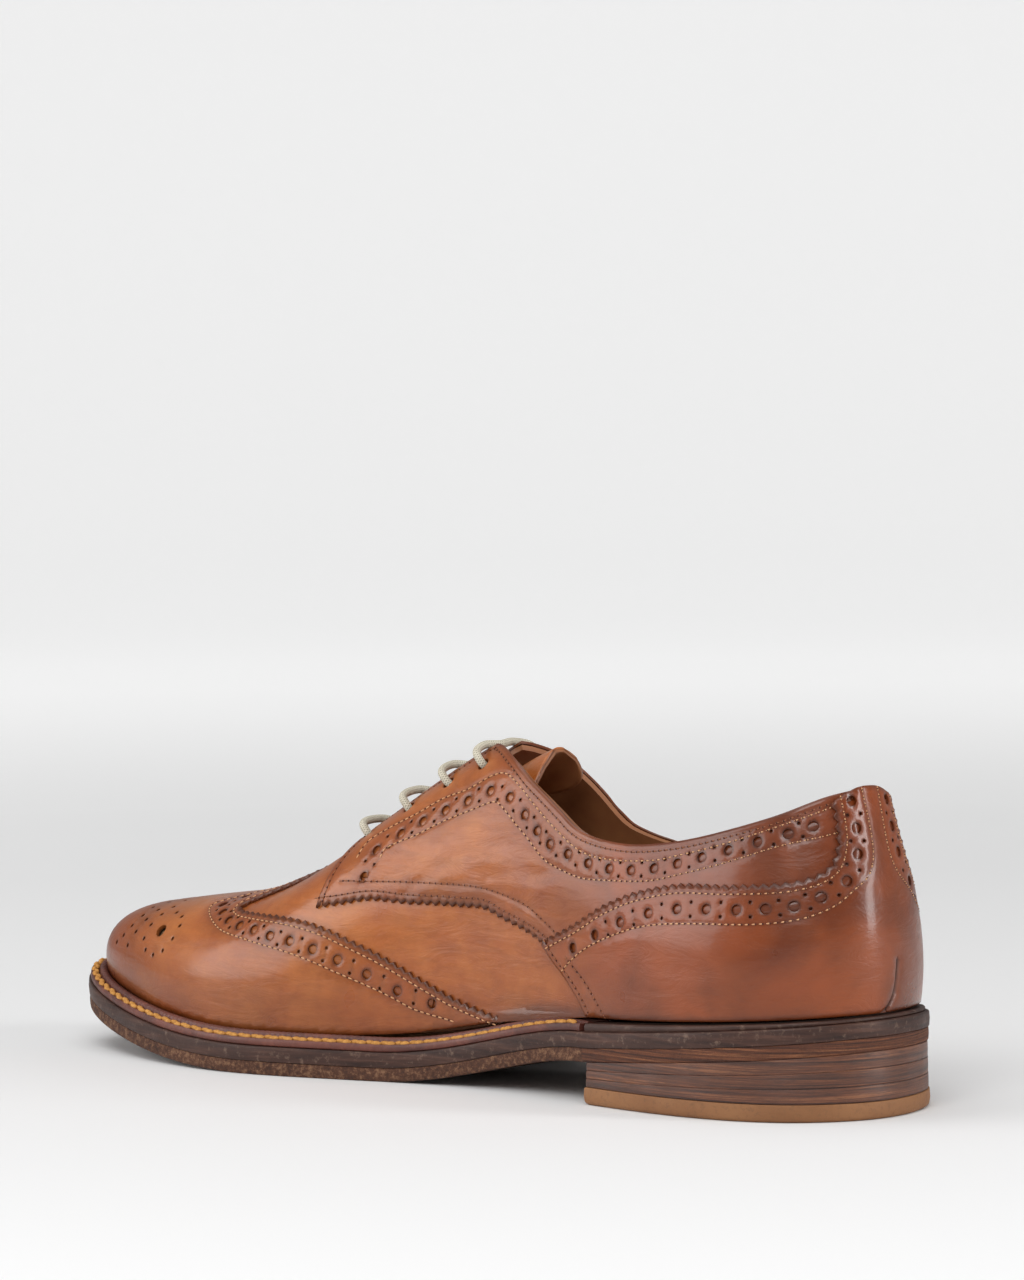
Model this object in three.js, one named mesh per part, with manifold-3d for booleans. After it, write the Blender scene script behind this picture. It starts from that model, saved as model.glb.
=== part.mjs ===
// Derby full-brogue shoe, right foot, EU 42, built in layers the way a welted shoe is made.
// Millimetres, +Z up, +X toward the toe, +Y the inner (medial) side, origin under the middle.
import * as THREE from 'three';
import Module from 'manifold-3d';

// ---------------------------------------------------------------- driving sizes
const CENTRE_X = 150.0;          // moved to the origin
const CENTRE_Y = -1.55;
const HEEL_BREAST = 84;          // x of the front face of the heel
const HEEL_LOW = 12;             // height of the sole's underside at the breast
const HEEL_HIGH = 19;            // height of the sole's underside at the heel back
const WAIST_END = 165;           // x where the waist comes down to the floor
const BALL_END = 205;            // x where the toe spring begins
const TOE_SPRING = 14;           // lift of the underside at the toe
const OUTSOLE = 4.0;
const MIDSOLE = 4.4;
const TOP_PIECE = 5.0;
const PLAY = 0.12;               // glue line between sole layers
const WELT = 2.3;
const WELT_LIP = 4.1;
const SKIN = 1.0;                // quarter, wing cap and heel foxing leather
const VAMP_SKIN = 1.0;
const LINING = 0.9;
const LINING_LEVEL = 1.65;       // outer face of the quarter linings, below the last
const LACE_DIAMETER = 2.4;
const LACE_HOLE = LACE_DIAMETER + 1.6;
const HOLES = [[205.5, 0.785], [189, 0.785], [173.5, 0.80], [159.5, 0.815]];

// Sole edge: control stations along the length, inner and outer half widths.
const STATION = [4, 18, 42, 70, 100, 130, 160, 188, 215, 240, 264, 284, 297];
const INNER = [18, 32, 38, 37, 32, 29, 34, 44, 49.5, 47.5, 41.5, 34, 24];
const OUTER = [24, 35, 37, 34.5, 32.5, 35.5, 43.5, 50.5, 52.5, 49, 39, 24, 10];
const TOE = [302, 10];
const HEEL = [-2.5, 0];

// The last, one value per control section, from the heel back (first) to the toe (last).
const INSET = [5.4, 5.4, 5.4, 5.4, 5.6, 6.0, 6.2, 6.8, 7.4, 7.8, 7.8, 7.8, 7.8, 7.8, 7.8];
// Heights are above the bed, the top of the welt's line under each section.
const FEATHER_RISE = [-0.91, -0.57, -0.2, 0.2, 0.53, 1.72, 2.21, 1.77, 0.7, 0.54, 0.4, 0.3, 0.02,
  -0.93, -1.5];
const BULGE_IN = [3.5, 4, 4, 3.2, 1.5, 1, 2, 3, 3, 3, 3, 3.5, 4, 4, 4];
const BULGE_OUT = [3.5, 4, 4, 4, 3.2, 3, 3, 3, 3, 3, 3.5, 4, 4, 4, 4];
const WALL = [0.33, 0.33, 0.33, 0.35, 0.4, 0.45, 0.5, 0.53, 0.55, 0.57, 0.58, 0.6, 0.62, 0.63, 0.64];
const COMB_X = [12, 14, 22, 42, 70, 99, 130, 160, 187, 211, 231, 247, 259, 266, 270];
const COMB_W = [0, 9, 16, 19, 18, 14, 0, 0, 0, 0, 0, 0, 0, 0, 0];
const COMB_Y = [0, 0, 0, 0, 0, 0, 2, 2, 2, 3, 4, 5, 6, 7, 7.5];
const COMB_RISE = [70.09, 70.63, 70.8, 70.8, 74.13, 82.52, 88.01, 76.67, 59.3, 42.64, 35.7, 30.1,
  24.22, 19.47, 17.3];
const CHEEK_X = [6, 8.5, 20, 42, 70, 100, 130, 160, 188, 213, 235, 254, 268, 277, 280];
const CHEEK_IN = [0, 12, 23, 25.5, 24.5, 21.5, 18.5, 21, 26, 31, 31, 28.5, 23.5, 17, 7.5];
const CHEEK_OUT = [0, 12, 23, 25.5, 25.5, 24.5, 24, 26.5, 33, 37, 36.5, 31, 20, 8, 7.5];
const CHEEK_RISE = [46.09, 46.63, 46.8, 46.8, 50.13, 60.52, 82.01, 74.67, 58.8, 42.64, 35.7, 30.1,
  24.22, 19.47, 16.7];

// ---------------------------------------------------------------- the last as a surface
const RING = 28;
const HALF = 14;

function underside(x) {
  if (x < HEEL_BREAST) return HEEL_LOW + (HEEL_HIGH - HEEL_LOW) * (HEEL_BREAST - x) / HEEL_BREAST;
  if (x < WAIST_END) {
    const t = (x - HEEL_BREAST) / (WAIST_END - HEEL_BREAST);
    return HEEL_LOW * (1 - t) * (1 - t) * (1 + 2 * t);
  }
  if (x > BALL_END) return TOE_SPRING * ((x - BALL_END) / (300 - BALL_END)) ** 2;
  return 0;
}

// The bed the last stands on, over the underside's height law.
const bed = (x) => underside(x) + OUTSOLE + MIDSOLE + WELT;

function soleControl(i) {
  const k = ((i % RING) + RING) % RING;
  if (k === 0) return HEEL;
  if (k === HALF) return TOE;
  if (k < HALF) return [STATION[k - 1], INNER[k - 1]];
  return [STATION[RING - k - 1], -OUTER[RING - k - 1]];
}

function outwardAt(i) {
  const a = soleControl(i - 1);
  const b = soleControl(i + 1);
  const dx = b[0] - a[0];
  const dy = b[1] - a[1];
  const l = Math.hypot(dx, dy);
  return [-dy / l, dx / l];
}

function section(i) {
  const k = ((i % RING) + RING) % RING;
  const j = k <= HALF ? k : RING - k;
  const inner = k <= HALF;
  const side = inner ? 1 : -1;
  const p = soleControl(k);
  const n = outwardAt(k);
  const floor = bed(p[0]);
  const foot = [p[0] - n[0] * INSET[j], p[1] - n[1] * INSET[j], floor + FEATHER_RISE[j]];
  const comb = [COMB_X[j], side * COMB_W[j] + COMB_Y[j], floor + COMB_RISE[j]];
  const out = (inner ? BULGE_IN : BULGE_OUT)[j];
  const wall = [foot[0] + n[0] * out, foot[1] + n[1] * out, foot[2] + WALL[j] * (comb[2] - foot[2])];
  const shift = j >= 6 && j < HALF ? COMB_Y[j] : 0;
  const cheek = [CHEEK_X[j], side * (inner ? CHEEK_IN : CHEEK_OUT)[j] + shift, floor + CHEEK_RISE[j]];
  if (j === HALF) cheek[1] = COMB_Y[HALF];
  return [foot, wall, cheek, comb];
}

const NET = Array.from({ length: RING }, (_, i) => section(i));

function basis(t) {
  const r = 1 - t;
  return [r * r * r / 6, (3 * t * t * t - 6 * t * t + 4) / 6,
    (-3 * t * t * t + 3 * t * t + 3 * t + 1) / 6, t * t * t / 6];
}

function columnAt(u) {
  const w = ((u % RING) + RING) % RING;
  const i = Math.floor(w);
  const b = basis(w - i);
  const out = [[0, 0, 0], [0, 0, 0], [0, 0, 0], [0, 0, 0]];
  for (let k = 0; k < 4; k += 1) {
    const net = NET[(i + k - 1 + RING) % RING];
    for (let r = 0; r < 4; r += 1) {
      for (let c = 0; c < 3; c += 1) out[r][c] += b[k] * net[r][c];
    }
  }
  return out;
}

function last(u, v) {
  const c = columnAt(u);
  const r = 1 - v;
  const w = [r * r * r, 3 * v * r * r, 3 * v * v * r, v * v * v];
  return new THREE.Vector3(
    w[0] * c[0][0] + w[1] * c[1][0] + w[2] * c[2][0] + w[3] * c[3][0],
    w[0] * c[0][1] + w[1] * c[1][1] + w[2] * c[2][1] + w[3] * c[3][1],
    w[0] * c[0][2] + w[1] * c[1][2] + w[2] * c[2][2] + w[3] * c[3][2]);
}

// s runs 0 to 330 along the feather line from the heel back to the toe; + inner side, - outer.
const STEPS = 1400;
const WALK = [0];
for (let i = 1; i <= STEPS; i += 1) {
  const a = last(HALF * (i - 1) / STEPS, 0);
  const b = last(HALF * i / STEPS, 0);
  WALK.push(WALK[i - 1] + a.distanceTo(b));
}

function ringOf(s) {
  const want = Math.min(Math.abs(s), 330) / 330 * WALK[STEPS];
  let i = 1;
  while (i < STEPS && WALK[i] < want) i += 1;
  const u = HALF * (i - 1 + (want - WALK[i - 1]) / (WALK[i] - WALK[i - 1])) / STEPS;
  return s < 0 ? -u : u;
}

function skinPoint(s, v) {
  return last(ringOf(s), v);
}

// The forepart is laid flat as a pattern: foot and comb points joined by straight lines in plan.
function flat(s, v) {
  const c = columnAt(ringOf(s));
  return [c[0][0] * (1 - v) + c[3][0] * v, c[0][1] * (1 - v) + c[3][1] * v];
}

const SPINE = [];
for (let i = 0; i <= 40; i += 1) {
  const c = columnAt(5 + 9 * i / 40);
  SPINE.push([c[3][0], c[3][1]]);
}
SPINE.push([columnAt(HALF)[0][0], columnAt(HALF)[0][1]]);

function spineY(x) {
  for (let i = 1; i < SPINE.length; i += 1) {
    if (x <= SPINE[i][0] || i === SPINE.length - 1) {
      const a = SPINE[i - 1];
      const b = SPINE[i];
      return a[1] + (b[1] - a[1]) * (x - a[0]) / (b[0] - a[0]);
    }
  }
  return 0;
}

function unflat(x, y) {
  const side = y >= spineY(x) ? 1 : -1;
  const miss = (u) => {
    const c = columnAt(side * u);
    const ax = c[3][0] - c[0][0];
    const ay = c[3][1] - c[0][1];
    return side * (ax * (y - c[0][1]) - ay * (x - c[0][0]));
  };
  let lo = 2.5;
  let hi = HALF;
  for (let k = 0; k < 34; k += 1) {
    const mid = (lo + hi) / 2;
    if (miss(mid) > 0) lo = mid;
    else hi = mid;
  }
  const u = side * (lo + hi) / 2;
  const c = columnAt(u);
  const ax = c[3][0] - c[0][0];
  const ay = c[3][1] - c[0][1];
  const v = ((x - c[0][0]) * ax + (y - c[0][1]) * ay) / (ax * ax + ay * ay);
  return [u, Math.min(1, Math.max(0, v))];
}

function offPoint(at, a, b, d) {
  const e = at.step;
  const p = at(a, b);
  const du = at(a + e, b).sub(at(a - e, b));
  const dv = at(a, b + e * at.scale).sub(at(a, b - e * at.scale));
  const n = du.cross(dv).normalize().multiplyScalar(at.sign);
  return p.addScaledVector(n, d);
}

const onSkin = (s, v) => skinPoint(s, v);
onSkin.scale = 0.01;
onSkin.sign = -1;
onSkin.step = 0.05;
const onFore = (x, y) => {
  const [u, v] = unflat(x, y);
  return last(u, v);
};
onFore.scale = 1;
onFore.sign = 1;
onFore.step = 1.5;

// ---------------------------------------------------------------- closed sheets
const V = (p) => new THREE.Vector3(p.x - CENTRE_X, p.y - CENTRE_Y, p.z);

function closedGrid(top, bottom, n, m) {
  // top and bottom: (n+1) x (m+1) points; side walls close the sheet into one body.
  const pos = [];
  const index = [];
  const at = (layer, i, j) => layer * (n + 1) * (m + 1) + i * (m + 1) + j;
  for (const layer of [top, bottom]) {
    for (const p of layer) pos.push(p.x, p.y, p.z);
  }
  const quad = (a, b, c, d) => index.push(a, b, c, a, c, d);
  for (let i = 0; i < n; i += 1) {
    for (let j = 0; j < m; j += 1) {
      quad(at(0, i, j), at(0, i + 1, j), at(0, i + 1, j + 1), at(0, i, j + 1));
      quad(at(1, i, j), at(1, i, j + 1), at(1, i + 1, j + 1), at(1, i + 1, j));
    }
    quad(at(0, i, 0), at(1, i, 0), at(1, i + 1, 0), at(0, i + 1, 0));
    quad(at(0, i + 1, m), at(1, i + 1, m), at(1, i, m), at(0, i, m));
  }
  for (let j = 0; j < m; j += 1) {
    quad(at(0, 0, j + 1), at(1, 0, j + 1), at(1, 0, j), at(0, 0, j));
    quad(at(0, n, j), at(1, n, j), at(1, n, j + 1), at(0, n, j + 1));
  }
  return outward({ pos, index });
}

function outward(g) {
  let vol = 0;
  const { pos, index } = g;
  for (let k = 0; k < index.length; k += 3) {
    const [a, b, c] = [index[k] * 3, index[k + 1] * 3, index[k + 2] * 3];
    vol += pos[a] * (pos[b + 1] * pos[c + 2] - pos[b + 2] * pos[c + 1])
      - pos[a + 1] * (pos[b] * pos[c + 2] - pos[b + 2] * pos[c])
      + pos[a + 2] * (pos[b] * pos[c + 1] - pos[b + 1] * pos[c]);
  }
  if (vol < 0) {
    for (let k = 0; k < index.length; k += 3) {
      const t = index[k + 1];
      index[k + 1] = index[k + 2];
      index[k + 2] = t;
    }
  }
  return g;
}

function spline(list, n) {
  const c = new THREE.SplineCurve(list.map((p) => new THREE.Vector2(p[0], p[1])));
  return Array.from({ length: n + 1 }, (_, i) => {
    const q = c.getPoint(i / n);
    return [q.x, q.y];
  });
}

// A sheet ruled between two matched edge lines, between two depths from the last.
function sheet(at, low, high, n, m, d0, d1) {
  const a = spline(low, n);
  const b = spline(high, n);
  const top = [];
  const bottom = [];
  for (let i = 0; i <= n; i += 1) {
    for (let j = 0; j <= m; j += 1) {
      const t = j / m;
      const x = a[i][0] + (b[i][0] - a[i][0]) * t;
      const y = a[i][1] + (b[i][1] - a[i][1]) * t;
      top.push(V(offPoint(at, x, y, d1)));
      bottom.push(V(offPoint(at, x, y, d0)));
    }
  }
  return closedGrid(top, bottom, n, m);
}

const mirrored = (list) => list.map((p) => [-p[0], p[1]]);
const bothSides = (list) => [...list, ...mirrored(list.slice(0, -1)).reverse()];
const laidFlat = (list) => list.map((p) => flat(p[0], p[1]));
const foreSheet = (low, high, n, m, d0, d1) => sheet(
  onFore, laidFlat(bothSides(low)), laidFlat(bothSides(high)), n, m, d0, d1);

// ---------------------------------------------------------------- sole plates
function edgePoint(u, inset) {
  const w = ((u % RING) + RING) % RING;
  const i = Math.floor(w);
  const t = w - i;
  const b = basis(t);
  const r = 1 - t;
  const db = [-r * r / 2, (3 * t * t - 4 * t) / 2, (-3 * t * t + 2 * t + 1) / 2, t * t / 2];
  let [x, y, dx, dy] = [0, 0, 0, 0];
  for (let k = 0; k < 4; k += 1) {
    const c = soleControl(i + k - 1);
    x += b[k] * c[0];
    y += b[k] * c[1];
    dx += db[k] * c[0];
    dy += db[k] * c[1];
  }
  const l = Math.hypot(dx, dy);
  return [x + dy / l * inset, y - dx / l * inset];
}

function edgeChains(inset) {
  const inner = [];
  const outer = [];
  for (let i = -40; i <= 1440; i += 1) {
    const u = HALF * i / 1400;
    inner.push(edgePoint(u, inset));
    outer.push(edgePoint(-u, inset));
  }
  return [inner, outer];
}

function widthAt(chain, x) {
  let best = null;
  for (let i = 1; i < chain.length; i += 1) {
    const [a, b] = [chain[i - 1], chain[i]];
    if (a[0] <= x && b[0] > x) {
      best = a[1] + (b[1] - a[1]) * (x - a[0]) / (b[0] - a[0]);
      return best;
    }
  }
  return best;
}

// Every plate bends at the same places, so neighbours stay parallel.
const ROWS = [14, 26, 40, 55, 70];
for (let x = HEEL_BREAST; x < WAIST_END; x += 8.1) ROWS.push(x);
for (let x = WAIST_END; x < 284; x += 8) ROWS.push(x);

// A plate bent only along its length, between two height laws over x.
function plate(inset, x0, x1, lower, upper, across = 2, taper = null) {
  const [inner, outer] = edgeChains(inset);
  const tipX = Math.max(...inner.map((p) => p[0]));
  const backX = Math.min(...inner.map((p) => p[0]));
  const from = x0 === null ? backX + 0.02 : x0;
  const to = x1 === null ? tipX - 0.02 : x1;
  const inside = ROWS.filter((x) => x > from + 0.4 && x < to - 0.4);
  const rows = [from, ...inside, to];
  if (x0 === null) rows.push(...[0.06, 0.2, 0.45, 0.72].map((t) => from + (inside[0] - from) * t));
  if (x1 === null) {
    rows.push(...[0.04, 0.14, 0.3, 0.5, 0.75].map((t) => to - (to - inside[inside.length - 1]) * t));
  }
  rows.sort((a, b) => a - b);
  const top = [];
  const bottom = [];
  for (const x of rows) {
    const spread = taper === null ? 1 : taper(x);
    const yi = (widthAt(inner, x) ?? 0) * spread;
    const yo = (widthAt(outer, x) ?? 0) * spread;
    for (let j = 0; j <= across; j += 1) {
      const y = yi + (yo - yi) * j / across;
      top.push(V({ x, y, z: upper(x) }));
      bottom.push(V({ x, y, z: lower(x) }));
    }
  }
  return closedGrid(top, bottom, rows.length - 1, across);
}

// A strip that follows the sole edge: a closed cross section swept from ring place a to b.
function edgeStrip(profile, a, b, n, base, ease) {
  const pos = [];
  const index = [];
  const m = profile.length;
  for (let i = 0; i <= n; i += 1) {
    const t = i / n;
    const u = a + (b - a) * t;
    const k = ease(t);
    for (const [inset, z, soft] of profile) {
      const p = edgePoint(u, inset);
      const q = V({ x: p[0], y: p[1], z: base(p[0]) + (soft ? z * k : z) });
      pos.push(q.x, q.y, q.z);
    }
  }
  for (let i = 0; i < n; i += 1) {
    for (let j = 0; j < m; j += 1) {
      const [p, q] = [i * m + j, i * m + (j + 1) % m];
      index.push(p, q, q + m, p, q + m, p + m);
    }
  }
  const cap = THREE.ShapeUtils.triangulateShape(profile.map((p) => new THREE.Vector2(p[0], p[1])), []);
  for (const [x, y, z] of cap) {
    index.push(x, z, y);
    index.push(n * m + x, n * m + y, n * m + z);
  }
  // the caps are wound from the profile; make the whole strip agree
  return agree({ pos, index });
}

// Turn triangles so that neighbours agree, then face the body outward.
function agree(g) {
  const { index } = g;
  const count = index.length / 3;
  const edges = new Map();
  const key = (a, b) => (a < b ? `${a}_${b}` : `${b}_${a}`);
  for (let f = 0; f < count; f += 1) {
    for (let k = 0; k < 3; k += 1) {
      const e = key(index[3 * f + k], index[3 * f + (k + 1) % 3]);
      if (!edges.has(e)) edges.set(e, []);
      edges.get(e).push(f);
    }
  }
  const seen = new Uint8Array(count);
  const stack = [0];
  seen[0] = 1;
  const has = (f, a, b) => [0, 1, 2].some((k) => index[3 * f + k] === a && index[3 * f + (k + 1) % 3] === b);
  while (stack.length > 0) {
    const f = stack.pop();
    for (let k = 0; k < 3; k += 1) {
      const a = index[3 * f + k];
      const b = index[3 * f + (k + 1) % 3];
      for (const h of edges.get(key(a, b))) {
        if (!seen[h]) {
          if (has(h, a, b)) {
            const t = index[3 * h + 1];
            index[3 * h + 1] = index[3 * h + 2];
            index[3 * h + 2] = t;
          }
          seen[h] = 1;
          stack.push(h);
        }
      }
    }
  }
  return outward(g);
}

// ---------------------------------------------------------------- cutting
const wasm = await Module();
wasm.setup();

function toSolid(g) {
  return new wasm.Manifold(new wasm.Mesh({
    numProp: 3, vertProperties: new Float32Array(g.pos), triVerts: new Uint32Array(g.index) }));
}

function fromSolid(solid) {
  const m = solid.getMesh();
  const pos = [];
  for (let i = 0; i < m.vertProperties.length; i += m.numProp) {
    pos.push(m.vertProperties[i], m.vertProperties[i + 1], m.vertProperties[i + 2]);
  }
  return { pos, index: Array.from(m.triVerts) };
}

function pin(s, v, radius, from, to) {
  const a = offPoint(onSkin, s, v, from);
  const b = offPoint(onSkin, s, v, to);
  const g = new THREE.CylinderGeometry(radius, radius, a.distanceTo(b), 10, 1);
  const turn = new THREE.Quaternion().setFromUnitVectors(
    new THREE.Vector3(0, 1, 0), b.clone().sub(a).normalize());
  g.applyQuaternion(turn);
  const mid = V(a.clone().add(b).multiplyScalar(0.5));
  g.translate(mid.x, mid.y, mid.z);
  return weld(g);
}

function weld(geometry) {
  const flatGeometry = geometry.index ? geometry.toNonIndexed() : geometry;
  const p = flatGeometry.getAttribute('position');
  const seen = new Map();
  const pos = [];
  const index = [];
  for (let i = 0; i < p.count; i += 1) {
    const k = [p.getX(i), p.getY(i), p.getZ(i)].map((x) => Math.round(x * 1e4)).join('_');
    if (!seen.has(k)) {
      seen.set(k, pos.length / 3);
      pos.push(p.getX(i), p.getY(i), p.getZ(i));
    }
    index.push(seen.get(k));
  }
  const keep = [];
  for (let i = 0; i < index.length; i += 3) {
    const [a, b, c] = [index[i], index[i + 1], index[i + 2]];
    if (a !== b && b !== c && c !== a) keep.push(a, b, c);
  }
  return outward({ pos, index: keep });
}

function punched(g, side) {
  let solid = toSolid(g);
  for (const [s, v] of HOLES) {
    solid = solid.subtract(toSolid(pin(side * s, v, LACE_HOLE / 2, -6, 6)));
  }
  return fromSolid(solid);
}

// ---------------------------------------------------------------- the shoe
const shoe = new THREE.Group();
shoe.name = 'derby_shoe';

const COLOUR = {
  tan: [0xa0603f, 0.35, 0], lining: [0x4a2410, 0.7, 0], board: [0x8a6a4a, 0.8, 0],
  dark: [0x4a3f3e, 0.6, 0], crepe: [0x7b5540, 0.8, 0], stack: [0x6b4536, 0.6, 0],
  rubber: [0x9c6a42, 0.7, 0], welt: [0x5a3430, 0.6, 0], thread: [0xc98a3a, 0.8, 0],
  lace: [0xc9c3b2, 0.8, 0], steel: [0x9a9a9a, 0.4, 0.9], cork: [0x9a7a50, 0.95, 0] };

function add(name, g, tone) {
  const geometry = new THREE.BufferGeometry();
  geometry.setAttribute('position', new THREE.Float32BufferAttribute(g.pos, 3));
  geometry.setIndex(g.index);
  geometry.computeVertexNormals();
  const [color, roughness, metalness] = COLOUR[tone];
  const mesh = new THREE.Mesh(geometry, new THREE.MeshStandardMaterial({ color, roughness, metalness }));
  mesh.name = name;
  shoe.add(mesh);
}

// Upper, level 0 is the outside of the vamp.
const CAP_OUT = [[150, 0.012], [168, 0.012], [190, 0.012], [212, 0.012], [234, 0.012], [254, 0.012],
  [274, 0.012], [290, 0.012], [304, 0.012], [317, 0.012], [330, 0.012]];
const CAP_IN = [[149, 0.05], [171, 0.13], [189, 0.235], [208, 0.355], [227, 0.48], [240, 0.57],
  [249.5, 0.645], [249, 0.72], [240, 0.81], [232, 0.9], [226, 1]];
add('wing_cap', foreSheet(CAP_OUT, CAP_IN, 40, 16, 0.38, 0.38 + SKIN), 'tan');

const VAMP_FRONT = [[158, 0.012], [182, 0.11], [202, 0.228], [218, 0.336], [234, 0.449], [249, 0.556],
  [258, 0.64], [252, 0.8], [238, 1]];
const VAMP_REAR = [[92, 0.012], [101, 0.10], [110, 0.22], [124, 0.31], [145, 0.365], [166, 0.43],
  [186, 0.50], [205, 0.64], [213, 1]];
add('vamp', foreSheet(VAMP_FRONT, VAMP_REAR, 36, 7, -VAMP_SKIN, 0), 'tan');

const PUFF_OUT = [[266, 0.02], [280, 0.02], [296, 0.02], [312, 0.02], [330, 0.02]];
const PUFF_IN = [[266, 0.1], [264, 0.3], [264, 0.5], [262, 0.75], [258, 1]];
add('toe_puff', foreSheet(PUFF_OUT, PUFF_IN, 24, 10, -1.1, -0.7), 'board');

const VLINE_OUT = [[143, 0.02], [165, 0.02], [188, 0.02], [210, 0.02], [232, 0.02], [254, 0.02],
  [274, 0.02], [290, 0.02], [304, 0.02], [317, 0.02], [330, 0.02]];
const VLINE_IN = [[145, 0.05], [156, 0.16], [167, 0.27], [178, 0.38], [189, 0.48], [199, 0.58],
  [208, 0.67], [212, 0.76], [215, 0.84], [217, 0.92], [217.5, 1]];
add('vamp_lining', foreSheet(VLINE_OUT, VLINE_IN, 40, 13, -1.75 - LINING, -1.75), 'lining');

const QUARTER_LOW = [[212, 0.456], [203, 0.43], [192, 0.406], [177, 0.353], [159, 0.313], [148, 0.296],
  [140, 0.266], [130, 0.236], [121, 0.2], [112, 0.175], [98, 0.22], [80, 0.32], [60, 0.39], [42, 0.405],
  [28, 0.41], [14, 0.43], [1, 0.45]];
const QUARTER_LOW_OUTER = [[212, 0.456], [203, 0.43], [192, 0.406], [177, 0.353], [159, 0.313], [148, 0.296],
  [140, 0.266], [130, 0.236], [121, 0.2], [110, 0.165], [96, 0.175], [80, 0.24], [60, 0.29], [42, 0.32],
  [28, 0.35], [14, 0.40], [1, 0.45]];
const QUARTER_TOP = [[212, 0.70], [206, 0.84], [194, 0.89], [181, 0.905], [168, 0.915], [158, 0.935],
  [151.5, 0.86], [140.5, 0.76], [130, 0.69], [120.5, 0.652], [109, 0.605], [92, 0.618], [74, 0.668],
  [52, 0.744], [37, 0.792], [20, 0.85], [1, 0.874]];
// the outer side's collar lies lower, clear of the ankle bone
const QUARTER_TOP_OUTER = [[212, 0.70], [206, 0.84], [194, 0.89], [181, 0.905], [168, 0.915], [158, 0.935],
  [151, 0.80], [144, 0.67], [136, 0.545], [128, 0.505], [112, 0.494], [92, 0.51], [74, 0.55],
  [52, 0.64], [37, 0.715], [20, 0.81], [1, 0.874]];
for (const [name, side] of [['quarter_medial', 1], ['quarter_lateral', -1]]) {
  const low = side > 0 ? QUARTER_LOW : mirrored(QUARTER_LOW_OUTER);
  const top = side > 0 ? QUARTER_TOP : mirrored(QUARTER_TOP_OUTER);
  add(name, punched(sheet(onSkin, low, top, 38, 7, 0.35, 0.35 + SKIN), side), 'tan');
}

const FOX_LOW = [[97, 0.012], [86, 0.012], [74, 0.012], [62, 0.012], [50, 0.012], [38, 0.012],
  [28, 0.012], [20, 0.012], [14, 0.012], [11, 0.012], [8, 0.012], [0, 0.012]];
const FOX_TOP = [[122, 0.205], [108, 0.275], [95, 0.37], [82, 0.45], [66, 0.51], [48, 0.52],
  [30, 0.53], [19.9, 0.574], [16.8, 0.66], [17, 0.75], [18.5, 0.852], [0, 0.878]];
const FOX_TOP_OUTER = [[122, 0.205], [108, 0.245], [95, 0.30], [82, 0.345], [66, 0.385], [48, 0.415],
  [30, 0.455], [19.9, 0.53], [16.8, 0.65], [17, 0.75], [18.5, 0.83], [0, 0.878]];
const joined = (inner, outer) => [...inner, ...mirrored(outer.slice(0, -1)).reverse()];
const foxTop = joined(FOX_TOP, FOX_TOP_OUTER);
add('heel_foxing', sheet(onSkin, bothSides(FOX_LOW), foxTop, 54, 7, 1.7, 1.7 + SKIN), 'tan');

const QLINE_LOW = [[138, 0.02], [134, 0.02], [130, 0.02], [126, 0.02], [121, 0.02], [116, 0.02],
  [110, 0.02], [104, 0.02], [97, 0.02], [88, 0.02], [78, 0.02], [64, 0.02], [46, 0.02]];
const QLINE_TOP = [[206, 0.70], [202, 0.80], [190, 0.84], [176, 0.86], [157.5, 0.882], [150, 0.848],
  [139.7, 0.76], [130, 0.692], [120.5, 0.64], [109, 0.593], [92, 0.606], [70, 0.67], [46, 0.757]];
const QLINE_TOP_OUTER = [[206, 0.70], [202, 0.80], [190, 0.84], [176, 0.86], [157.5, 0.882], [151, 0.79],
  [144, 0.66], [136, 0.535], [128, 0.495], [112, 0.484], [92, 0.50], [70, 0.55], [46, 0.657]];
for (const [name, side] of [['quarter_lining_medial', 1], ['quarter_lining_lateral', -1]]) {
  const low = side > 0 ? QLINE_LOW : mirrored(QLINE_LOW);
  const top = side > 0 ? QLINE_TOP : mirrored(QLINE_TOP_OUTER);
  add(name, punched(sheet(onSkin, low, top, 24, 7, -LINING_LEVEL - LINING, -LINING_LEVEL), side), 'lining');
}

const HLINE_LOW = [[44.5, 0.02], [37, 0.02], [23, 0.02], [12, 0.02], [0, 0.02]];
const HLINE_TOP = [[44.5, 0.76], [37, 0.782], [23, 0.832], [12, 0.858], [0, 0.865]];
const HLINE_TOP_OUTER = [[44.5, 0.66], [37, 0.70], [23, 0.785], [12, 0.84], [0, 0.865]];
add('heel_lining', sheet(onSkin, bothSides(HLINE_LOW), joined(HLINE_TOP, HLINE_TOP_OUTER), 18, 6,
  -LINING_LEVEL - LINING, -LINING_LEVEL), 'lining');

const STIFF_LOW = [[84, 0.02], [66, 0.02], [44, 0.02], [22, 0.02], [0, 0.02]];
const STIFF_TOP = [[84, 0.12], [68, 0.30], [44, 0.41], [20, 0.48], [0, 0.50]];
add('heel_stiffener', sheet(onSkin, bothSides(STIFF_LOW), bothSides(STIFF_TOP), 22, 4, -1.1, -0.15), 'board');

const STAY_LOW = [[196, 0.70], [180, 0.715], [158, 0.74]];
const STAY_TOP = [[198, 0.815], [180, 0.855], [158, 0.875]];
for (const [name, side] of [['facing_stay_medial', 1], ['facing_stay_lateral', -1]]) {
  const low = side > 0 ? STAY_LOW : mirrored(STAY_LOW);
  const top = side > 0 ? STAY_TOP : mirrored(STAY_TOP);
  add(name, punched(sheet(onSkin, low, top, 10, 3, -1.1, -0.35), side), 'board');
}

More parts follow.
